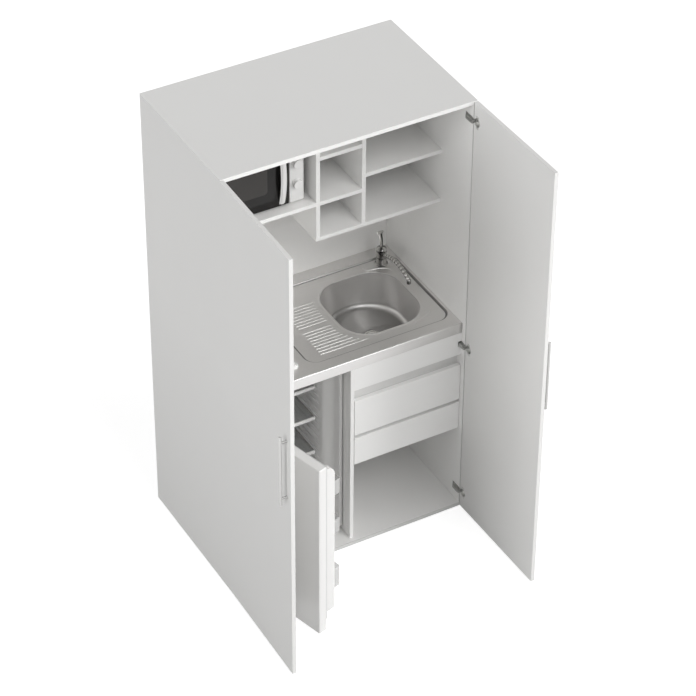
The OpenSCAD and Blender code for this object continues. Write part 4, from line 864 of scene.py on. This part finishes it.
class KITCHENETTE_OT_tap(bpy.types.Operator):
    """Turn the tap's body and cap, and sweep its beaded spout and flat lever."""

    bl_idname = "kitchenette.tap"
    bl_label = "Tap"

    COLLAR, DOME, HUB = 0.928, 0.9573, 0.969  # heights where the parts begin

    def execute(self, context):
        self.body()
        self.spout()
        self.cap()
        self.lever()
        return {"FINISHED"}

    def bands(self, points, spread=0.43):
        """Painted reflections: upright bands as a round chromed pillar would mirror them,
        0.45 + spread cos 3 a, where a is the direction from the tap's axis, and a line of
        painted shade at both seams."""
        a = np.arctan2(points[:, 1] - TAP[1], points[:, 0] - TAP[0])
        seams = sum(np.exp(-((points[:, 2] - z) / 0.0022) ** 2)
                    for z in (self.COLLAR, self.DOME))
        return np.clip(0.45 + spread * np.cos(3 * a + 0.4) + 0.6 * seams, 0, 0.96)

    def body(self):
        shape = lathe(mm((0, -40), (10, -40), (16, -39.5), (16, -9.6), (24, -9.5), (24, -1.7),
                         (25.5, 0), (26, 1.2), (25.8, 2.8), (24.5, 4), (22.2, 4.8),
                         (21.2, 6.5), (20.8, 12), (20.6, 22), (20.8, 30), (20.5, 32.8),
                         (19.5, 34), (16, 34), (16, 62.8), (0, 63)), (*TAP, DECK), "z", 72)
        piece("tap_pillar", shape, "tap_chrome", "cabinet", ("tap_body",), 40,
              # painted reflections in upright bands, and painted shade at the seams
              dim=self.bands(shape[0]))

    def spout(self):
        """Pipe on an arc of radius 187 mm; its own radius swells from 7.3 mm by 1.7 mm at
        each of eleven beads, as ((1 + cos) / 2)^0.8. A collar carries it and a nozzle
        ends it."""
        R, climb, fall, sides = 0.187, math.radians(33), math.radians(29.5), 28
        y = TAP[1] - 0.018 - R * math.sin(climb)
        z = self.COLLAR + 0.0145 - R * math.cos(climb)
        t = np.linspace(climb, -fall, 420)
        place = (climb - t) / (climb + fall) * 12 - 1.5
        beaded = (place > -0.5) & (place < 10.5)
        swell = np.where(beaded, ((1 + np.cos(2 * np.pi * place)) / 2) ** 0.8, 0.0)
        r = 0.0073 + 0.0017 * swell
        pipe = sweep(xyz(TAP[0], y + R * np.sin(t), z + R * np.cos(t)), (1, 0, 0),
                     xyz(0.0, np.sin(t), np.cos(t)), r, r, sides)
        nozzle = lathe(mm((0, -8), (6, -8), (6.4, -13.5), (7.8, -14), (8.7, -12.8),
                          (8.8, -3.5), (8.6, 2.5), (7.2, 6), (4.5, 8.5), (0, 9)),
                       (TAP[0], y - R * math.sin(fall), z + R * math.cos(fall)), "z", 40)
        collar = lathe(mm((16.05, 0.3), (20.5, 0.3), (21.4, 1.5), (21.5, 6), (20.2, 7.2),
                          (20.2, 21.5), (21.5, 22.8), (21.3, 27.2), (20.3, 28.7),
                          (16.05, 28.7), (16.05, 0.3)), (*TAP, self.COLLAR), "z", 72)
        # painted shade: dark in the grooves between the beads and under the pipe, light on its
        # top; an even painted shade on the nozzle
        groove = np.where(beaded, 1.15 * np.clip(1.5 - 2.2 * swell, 0, 1), 0.30)[:, None]
        groove = np.clip(groove * (0.72 - 0.42 * np.sin(circle(sides))), 0, 0.96)
        piece("tap_spout_pipe", joined(pipe, nozzle, collar), "tap_chrome", "spout",
              ("tap_spout",), 40, dim=np.concatenate([
                  groove.ravel(), np.full(len(nozzle[0]), 0.50), self.bands(collar[0])]))

    def cap(self):
        """Dome over the collar: r = 20.9 cos^0.8 t, h = 5.5 + 11.5 sin t."""
        t = quarter(14)
        dome = xyz(0.0209 * np.cos(t) ** 0.8, 0.0055 + 0.0115 * np.sin(t))
        shape = lathe(np.concatenate([mm((0, 0), (20, 0), (20.9, 1)), dome]),
                      (*TAP, self.DOME), "z", 72)
        piece("tap_dome", shape, "tap_chrome", "cap", ("tap_cap",), 40,
              # painted reflections in upright bands on the dome
              dim=self.bands(shape[0], 0.45))

    def lever(self):
        """Flat paddle that leans back by 12 degrees: its half width runs smoothly from
        6 mm at the dome through 8 to 16 mm at the tip, and it ends in a rolled edge."""
        s, sides = np.linspace(0, 1, 60), 28
        u = np.clip((s - 0.78) / 0.16, 0, 1)
        half = 0.0058 + 0.0026 * s + 0.0074 * u ** 2 * (3 - 2 * u)
        half *= np.where(s > 0.97, np.sqrt(np.clip(1 - ((s - 0.97) / 0.032) ** 2, 0.05, 1)), 1)
        thick = np.interp(s, [0, 0.2, 0.8, 0.93, 1], [0.0040, 0.0028, 0.0019, 0.0026, 0.0018])
        bow, up = -0.004 * np.sin(np.pi * s), 0.004 + 0.068 * s
        c, n = math.cos(math.radians(12)), math.sin(math.radians(12))
        path = xyz(TAP[0], TAP[1] + bow * c + up * n, self.HUB - bow * n + up * c)
        paddle = sweep(path, (1, 0, 0), (0, c, -n), half, thick, sides, 3.0)
        barrel = lathe(mm((0, -6.8), (5.8, -6.8), (6.4, -6), (6.4, 6), (5.8, 6.8), (0, 6.8)),
                       (*TAP, self.HUB), "x", 40)
        # painted shade on the right half of the paddle and on the barrel, fading towards a
        # painted highlight at the tip
        right = 1 / (1 + np.exp(-(paddle[0][:, 0] - TAP[0]) / 0.0009))
        tip = np.repeat(np.clip((s - 0.80) / 0.12, 0, 1), sides)
        piece("tap_paddle", joined(paddle, barrel), "tap_chrome", "lever", ("tap_lever",), 40,
              dim=np.concatenate([(0.04 + 0.90 * right) * (1 - 0.9 * tip),
                                  np.full(len(barrel[0]), 0.6)]))


class KITCHENETTE_OT_hob(bpy.types.Operator):
    """Turn the two hotplates with their steel trims and the two control knobs, and dress
    the tray below."""

    bl_idname = "kitchenette.hob"
    bl_label = "Hob"

    PLATES_X, KNOBS_Y = -0.324, -0.212

    def execute(self, context):
        plates, trims = [], []
        for y, r in ((-0.116, 0.0725), (0.110, 0.090)):
            centre = (self.PLATES_X, y, TOP)
            plates.append(lathe(self.plate(r), centre, "z", 96))
            trim = mm((-4.4, 0.2), (-0.4, 0.2), (0, 0.6), (-0.4, 1.7), (-2, 2), (-4.4, 1.8),
                      (-4.4, 0.2))
            trims.append(lathe(trim + (r, 0.0), centre, "z", 96))
        piece("hotplate_discs", joined(*plates), "hotplate_iron", "cabinet",
              ("hotplates",), 50)
        piece("hotplate_trims", joined(*trims), "tap_chrome", "cabinet")
        y = self.KNOBS_Y
        for x, side in ((-0.245, "left"), (-0.185, "right")):
            piece(side + "_hob_dial", self.knob((x, y, TOP)), "knob_white",
                  side + "_knob", (side + "_hob_knob",))
            pointer = block((x - 0.0009, y + 0.004, TOP + 0.01795),
                            (x + 0.0009, y + 0.0165, TOP + 0.01855), 0.0003, 2)
            piece(side + "_hob_pointer", pointer, "compressor_black", side + "_knob")
        dressed("hob_tray", "zinc_sheet", 0.0006)
        return {"FINISHED"}

    def plate(self, r):
        """Iron disc: rounded rim, rings of shallow grooves z = top - g (1 + cos) / 2, and a
        dished middle."""
        inner = r - 0.0046
        s = np.linspace(inner - 0.003, 0.026, 90)
        edge = mm((-1, -16), (0, -15), (0, 6), (-0.8, 7.4), (-2, 8)) + (inner, 0.0)
        return np.concatenate([
            mm((0, -16)), edge, xyz(s, 0.008 - 0.00011 * (1 + np.cos(2 * np.pi * s / 0.0042))),
            mm((24.5, 7.8), (23.5, 7), (21.5, 6.6), (0, 6.6))])

    def knob(self, centre):
        """Skirt, waist and a domed top, with a grip bar across it and the shaft below."""
        x, y, z = centre
        body = lathe(mm((0, 0.5), (19.2, 0.5), (20, 1.3), (20, 3), (19.2, 4.4), (18, 5),
                        (17.2, 7.5), (16.8, 11), (16, 12.2), (0, 12.4)), centre, "z", 64)
        at, share = rounded_ends(0.033, 0.0045, 10)
        bar = sweep(xyz(x, y - 0.0165 + at, z + 0.0130), (1, 0, 0), (0, 0, 1), 0.0046 * share,
                    0.0052 * np.sqrt(share), 24, 3.2)
        shaft = lathe(mm((0, -12), (2.8, -12), (3, -11.5), (3, 1), (0, 1)), centre, "z", 24)
        return joined(body, bar, shaft)


class KITCHENETTE_OT_drawers(bpy.types.Operator):
    """Dress the fascia, the drawer fronts and boxes, the runners and the grip rail."""

    bl_idname = "kitchenette.drawers"
    bl_label = "Drawers"

    def execute(self, context):
        edge = context.scene.kitchenette_sizes.board_edge
        dressed("fascia", "white_board", edge)
        for name in ("upper_drawer", "lower_drawer"):
            dressed(name + "_front", "white_board", edge)
            dressed(name + "_box", "white_board", 0.0006)
        dressed("grip_rail", "white_enamel", 0.0005)
        dressed("drawer_runners", "zinc_sheet", 0.0008)
        return {"FINISHED"}


class KITCHENETTE_OT_refrigerator(bpy.types.Operator):
    """Finish the refrigerator's casing, lining, glass shelves and working parts."""

    bl_idname = "kitchenette.refrigerator"
    bl_label = "Refrigerator"

    MOUTH = -0.232
    STEP = 0.128  # rise of the floor over the compressor
    BACK_ROUND = 0.014

    def execute(self, context):
        dressed("fridge_casing", "white_enamel", 0.0020,
                moves=((0, -0.445, -0.467), (0, -0.023, 0.005), (2, 0.110, 0.096),
                       (2, 0.814, 0.832)))
        self.lining()
        dressed("fridge_crisper", "clear_plastic", 0.0008)
        dressed("fridge_hinge_pins", "hinge_metal", 0.0004)
        dressed("fridge_hinge_brackets", "hinge_metal", 0.0005)
        self.shelves()
        self.compressor()
        self.dial()
        return {"FINISHED"}

    def lining(self):
        """Moulded tub: rings from the mouth to the back wall. The mouth closes in on the
        cave by a cosine step, at the sides between 34 and 98 mm deep, at floor and roof
        between 61 and 98 mm; the floor steps up over the compressor, and a quarter circle
        leads to the back wall. Ribs with fading ends run along both sides."""
        out = []
        for d in (0.0, 0.003, 0.02, 0.034, *np.linspace(0.038, 0.098, 16), 0.16, 0.24, 0.306,
                  *np.linspace(0.309, 0.327, 9), 0.36):
            side, lift, step = (smooth((d - start) / run) for start, run in (
                (0.034, 0.064), (0.061, 0.037), (0.306, 0.021)))
            out.append(self.section(d, side, lift, self.STEP * step, 0.0))
        for t in quarter(7):
            out.append(self.section(0.406 + self.BACK_ROUND * math.sin(t), 1, 1, self.STEP,
                                    self.BACK_ROUND * (1 - math.cos(t))))
        points, faces = rings(out, capped=False)
        last = (len(out) - 1) * len(out[0]) + np.arange(len(out[0]))
        piece("moulded_tub", (points, faces + [last[None, :]]), "lining_plastic", "cabinet",
              ("fridge_liner",), 40, 0.0019)
        y = np.linspace(-0.122, 0.1865, 24)
        fade = np.clip((y + 0.122) / 0.030, 0.12, 1) ** 0.6
        bars = [sweep(xyz(x, y, 0.2545 + 0.034 * i), (0, 0, 1), (1, 0, 0), 0.0026 * fade,
                      0.0066 * fade, 12) for x in (-0.443, -0.025) for i in range(14)]
        piece("lining_ribs", joined(*bars), "lining_plastic", "cabinet")

    def section(self, depth, side, lift, rise, inset):
        """Outline of the tub at one depth, with corners of 8 mm that grow to 16."""
        x0, x1 = -0.465 + 0.022 * side + inset, 0.003 - 0.028 * side - inset
        z0, z1 = 0.098 + 0.014 * lift + rise + inset, 0.830 - 0.018 * lift - inset
        x, z = outline((x1 - x0) / 2, (z1 - z0) / 2, 0.008 + 0.008 * lift - 0.4 * inset,
                       6, 3).T
        return xyz(x + (x0 + x1) / 2, self.MOUTH + depth, z + (z0 + z1) / 2)

    def shelves(self):
        """Glass plates with ground edges, and a rounded white trim along each front."""
        x0, x1, plates, trims = -0.4355, -0.0325, [], []
        for z in (0.343, 0.512, 0.664):
            plates.append(block((x0, -0.104, z), (x1, 0.1875, z + 0.004), 0.0012, 2))
            trims.append(block((x0, -0.106, z - 0.006), (x1, -0.098, z + 0.008), 0.0025, 4))
        piece("glass_shelves", joined(*plates), "shelf_glass", "cabinet", ("fridge_shelves",))
        piece("shelf_trims", joined(*trims), "lining_plastic", "cabinet")

    def compressor(self):
        """Welded shell: a bellied drum with a seam, on a cross plate."""
        t = quarter(10)
        profile = np.concatenate([
            mm((0, 0), (52, 0), (58, 6), (59.5, 20), (59.5, 44), (60, 45.5), (60, 49.5),
               (59.5, 51), (59.5, 80)),
            xyz(0.034 + 0.026 * np.cos(t), 0.086 + 0.0245 * np.sin(t)), mm((0, 110.5))])
        plate = block((-0.463, 0.152, 0.040), (-0.005, 0.212, 0.042), 0.0006, 2)
        piece("compressor_shell",
              joined(lathe(profile, (-0.234, 0.182, 0.041), "z", 64), plate),
              "compressor_black", "cabinet", ("fridge_compressor",))

    def dial(self):
        """Thermostat knob with a fluted edge: r = 17.4 + 0.6 cos 18 a."""
        a = circle(144)
        flute = 0.0174 + 0.0006 * np.cos(18 * a)
        x, y, z = centre = (-0.025, -0.042, 0.766)
        grip = rings([xyz(x + h / 1000, y + flute * s * np.cos(a), z + flute * s * np.sin(a))
                      for h, s in ((-0.4, 1.0), (-9, 0.98), (-11.5, 0.94), (-12.3, 0.86),
                                   (-12.4, 0.60), (-12, 0.10))])
        shaft = lathe(mm((0, -1), (3, -1), (3, 1), (0, 1)), centre, "x", 24)
        piece("thermostat_knob", joined(grip, shaft), "knob_white", "dial",
              ("thermostat_dial",))


class KITCHENETTE_OT_refrigerator_door(bpy.types.Operator):
    """Finish the refrigerator's door: the slab, its lining with two dykes, the seal and
    the clear racks. They are drawn with the door shut."""

    bl_idname = "kitchenette.refrigerator_door"
    bl_label = "Refrigerator door"

    def execute(self, context):
        slab = block((-0.483, -0.278, 0.041), (0.015, -0.240, 0.844), 0.004, 4)
        piece("door_slab", swung(slab, *FRIDGE_DOOR), "white_enamel", "fridge_leaf",
              ("fridge_door",))
        plate = block((-0.456, -0.23998, 0.099), (-0.008, -0.236, 0.826), 0.0015, 3)
        lining = joined(plate, self.dyke(-0.456), self.dyke(-0.036))
        piece("door_lining", swung(lining, *FRIDGE_DOOR), "white_enamel", "fridge_leaf",
              ("fridge_door_liner",), 30)
        dressed("fridge_gasket", "seal_rubber", 0.0018)
        racks = joined(*[self.trough(z, h)
                         for z, h in ((0.150, 0.096), (0.420, 0.070), (0.610, 0.070))])
        piece("door_racks", swung(racks, *FRIDGE_DOOR), "clear_plastic", "fridge_leaf",
              ("fridge_door_racks",), 50)
        return {"FINISHED"}

    def dyke(self, x0):
        """Upright ridge of 28 mm: a section in y and z with round corners, carried along x.
        It is drawn in by e = r (1 - sin t) at both faces while x moves r (1 - cos t)."""
        y0, y1, z0, z1 = -0.2399, -0.174, 0.099, 0.802
        corner, foot, edge = 0.044, 0.008, 0.003
        t, k, made = quarter(14), quarter(6), []
        inset, move = edge * (1 - np.sin(k)), edge * (1 - np.cos(k))
        for e, x in zip((*inset, *inset[::-1]), (*(x0 + move), *(x0 + 0.028 - move[::-1]))):
            top = xyz(y1 - corner + (corner - e) * np.sin(t),
                      z1 - corner + (corner - e) * np.cos(t))
            low = xyz(y1 - foot + (foot - e) * np.cos(t), z0 + foot - (foot - e) * np.sin(t))
            section = np.concatenate([[(y0, z1 - e)], top, low, [(y0, z0 + e)]])
            made.append(xyz(x, *section.T))
        return rings(made)

    def trough(self, z, height):
        """Open clear box: rings up the outside from a flat bottom, over a rolled rim, and
        down the inside to the floor."""
        x, y, half_x, half_y = -0.23575, -0.17395, 0.19175, 0.06295
        top = z + height
        rows = ((-1.6, z), (-0.5, z + 0.0004), (0, z + 0.0016), (0, top - 0.001),
                (-0.4, top - 0.0003), (-1.25, top), (-2.1, top - 0.0003), (-2.5, top - 0.001),
                (-2.5, z + 0.0041), (-3, z + 0.0029), (-4.1, z + 0.0025))
        return rings([flat_ring(outline(half_x + g / 1000, half_y + g / 1000,
                                        0.006 + g / 1000, 8, 3), h, (x, y))
                      for g, h in rows])


class KITCHENETTE_OT_microwave(bpy.types.Operator):
    """Finish the microwave: case, chamber, panel with two knobs, glass door with its bowed
    handle, and the turntable."""

    bl_idname = "kitchenette.microwave"
    bl_label = "Microwave"

    X0, X1, Y, Z0, Z1 = -0.495, -0.059, -0.071, 1.534, 1.782

    def execute(self, context):
        dressed("microwave_case", "white_enamel", 0.0012)
        dressed("microwave_chamber", "oven_enamel", 0.0010)
        panel = block((-0.118, self.Y, self.Z0), (self.X1, -0.042, self.Z1), 0.003, 4)
        piece("control_panel", panel, "white_enamel", "cabinet", ("microwave_panel",))
        self.door()
        self.handle()
        self.knobs()
        self.turntable()
        return {"FINISHED"}

    def door(self):
        """Frame with a choke behind it, a glass pane, and a window with round corners a
        hair in front of the pane."""
        x0, y, z0, z1 = self.X0, self.Y, self.Z0, self.Z1
        surround = block((x0, y + 0.0016, z0), (-0.121, y + 0.026, z1), 0.0035, 4)
        choke = block((-0.469, y + 0.0255, 1.546), (-0.133, y + 0.0286, 1.770), 0.001, 2)
        piece("oven_door_frame", joined(surround, choke), "compressor_black",
              "microwave_leaf", ("microwave_door",))
        pane = block((x0 + 0.0008, y, z0 + 0.0008), (-0.1218, y + 0.0022, z1 - 0.0008),
                     0.0010, 3)
        piece("oven_door_pane", pane, "oven_glass", "microwave_leaf")
        x, z = outline(0.125, 0.063, 0.014, 10, 4).T
        window = rings([xyz(x - 0.333, y + dy, z + 1.667) for dy in (-0.00015, 0.00025)])
        piece("oven_window", window, "oven_window", "microwave_leaf")

    def handle(self):
        """Bowed grip: an arc through its two feet, a flat band of 23 mm with a raised
        band of 13 mm on it, both squarish in section."""
        span, reach, lap = 0.228, 0.0175, 0.0012
        R = (span ** 2 / 4 + reach ** 2) / (2 * reach)
        half = math.asin(span / 2 / R)
        t = np.linspace(-half, half, 80)
        path = xyz(-0.1495, self.Y + (R - reach) - R * np.cos(t), 1.658 + R * np.sin(t))
        out = xyz(0.0, -np.cos(t), np.sin(t))
        bands = [sweep(path + shift * out, (1, 0, 0), out, width, 0.0030, 28, 5.0)
                 for shift, width in ((-lap, 0.0118), (lap, 0.0066))]
        feet = [block((-0.1600, self.Y - 0.004, z - 0.010),
                      (-0.1390, self.Y + 0.0005, z + 0.010), 0.0015, 3)
                for z in (1.5545, 1.7615)]
        piece("bowed_grip", joined(joined(*bands), *feet), "white_enamel", "microwave_leaf",
              ("microwave_handle",), 40)

    def knobs(self):
        """Round caps on a flat skirt, each with a thin raised line that points up."""
        x, y, t = -0.0885, self.Y, quarter(6)
        profile = np.concatenate([
            mm((0, -0.5), (19, -0.5), (20, -1.2), (20, -3.6), (19.3, -4.4), (18.2, -5)),
            xyz(0.0169 + 0.0014 * np.cos(t), -0.0160 - 0.0016 * np.sin(t)), mm((0, -17.7))])
        stem = mm((0, 25.5), (2.9, 25.5), (3, 25), (3, -1), (0, -1))
        for z, name in ((1.614, "timer"), (1.703, "power")):
            line = block((x - 0.0009, y - 0.0183, z + 0.004),
                         (x + 0.0009, y - 0.0172, z + 0.0155), 0.0004, 2)
            piece(name + "_dial", joined(lathe(profile, (x, y, z), "y", 64), line,
                                         lathe(stem, (x, y, z), "y", 24)),
                  "white_enamel", name + "_knob", ("microwave_%s_knob" % name,))

    def turntable(self):
        """Glass plate with a raised rim and a hub, drawn as one profile."""
        profile = mm((0, -8), (3, -8), (3, 0.4), (13.6, 0.6), (14, 1.2), (13.5, 8.8),
                     (14, 9.2), (108, 9.2), (117.5, 10), (121.5, 13.5), (122.5, 17.8),
                     (122.2, 18.8), (121.2, 19), (120.4, 18.6), (119, 15.5), (116, 13.5),
                     (108, 13), (0, 13))
        piece("glass_turntable", lathe(profile, (-0.308, 0.103, 1.560), "z", 96),
              "plate_glass", "turntable", ("microwave_turntable",), 40)


class KITCHENETTE_PT_pieces(bpy.types.Panel):
    """The pieces and their settings, in the sidebar of the 3D view."""

    bl_label = "Kitchenette"
    bl_idname = "KITCHENETTE_PT_pieces"
    bl_space_type = "VIEW_3D"
    bl_region_type = "UI"
    bl_category = "Kitchenette"

    def draw(self, context):
        scene = context.scene
        for settings in (scene.kitchenette_colours, scene.kitchenette_sizes,
                         scene.kitchenette_light):
            box = self.layout.box()
            for name in settings.bl_rna.properties.keys():
                if name not in ("rna_type", "name"):
                    box.prop(settings, name)
        for operator in OPERATORS:
            self.layout.operator(operator.bl_idname)


OPERATORS = (
    KITCHENETTE_OT_stage, KITCHENETTE_OT_carcass, KITCHENETTE_OT_doors,
    KITCHENETTE_OT_door_hinges, KITCHENETTE_OT_worktop, KITCHENETTE_OT_waste,
    KITCHENETTE_OT_tap, KITCHENETTE_OT_hob, KITCHENETTE_OT_drawers,
    KITCHENETTE_OT_refrigerator, KITCHENETTE_OT_refrigerator_door,
    KITCHENETTE_OT_microwave,
)
CLASSES = (KitchenetteColours, KitchenetteSizes, KitchenetteLight, *OPERATORS,
           KITCHENETTE_PT_pieces)


def register():
    for cls in CLASSES:
        bpy.utils.register_class(cls)
    bpy.types.Scene.kitchenette_colours = PointerProperty(type=KitchenetteColours)
    bpy.types.Scene.kitchenette_sizes = PointerProperty(type=KitchenetteSizes)
    bpy.types.Scene.kitchenette_light = PointerProperty(type=KitchenetteLight)


def unregister():
    del bpy.types.Scene.kitchenette_colours
    del bpy.types.Scene.kitchenette_sizes
    del bpy.types.Scene.kitchenette_light
    for cls in reversed(CLASSES):
        bpy.utils.unregister_class(cls)


def main():
    """Registers the add-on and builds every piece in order."""
    register()
    bpy.ops.kitchenette.stage()
    bpy.ops.kitchenette.carcass()
    bpy.ops.kitchenette.doors()
    bpy.ops.kitchenette.door_hinges()
    bpy.ops.kitchenette.worktop()
    bpy.ops.kitchenette.waste()
    bpy.ops.kitchenette.tap()
    bpy.ops.kitchenette.hob()
    bpy.ops.kitchenette.drawers()
    bpy.ops.kitchenette.refrigerator()
    bpy.ops.kitchenette.refrigerator_door()
    bpy.ops.kitchenette.microwave()


if __name__ == "__main__":
    main()
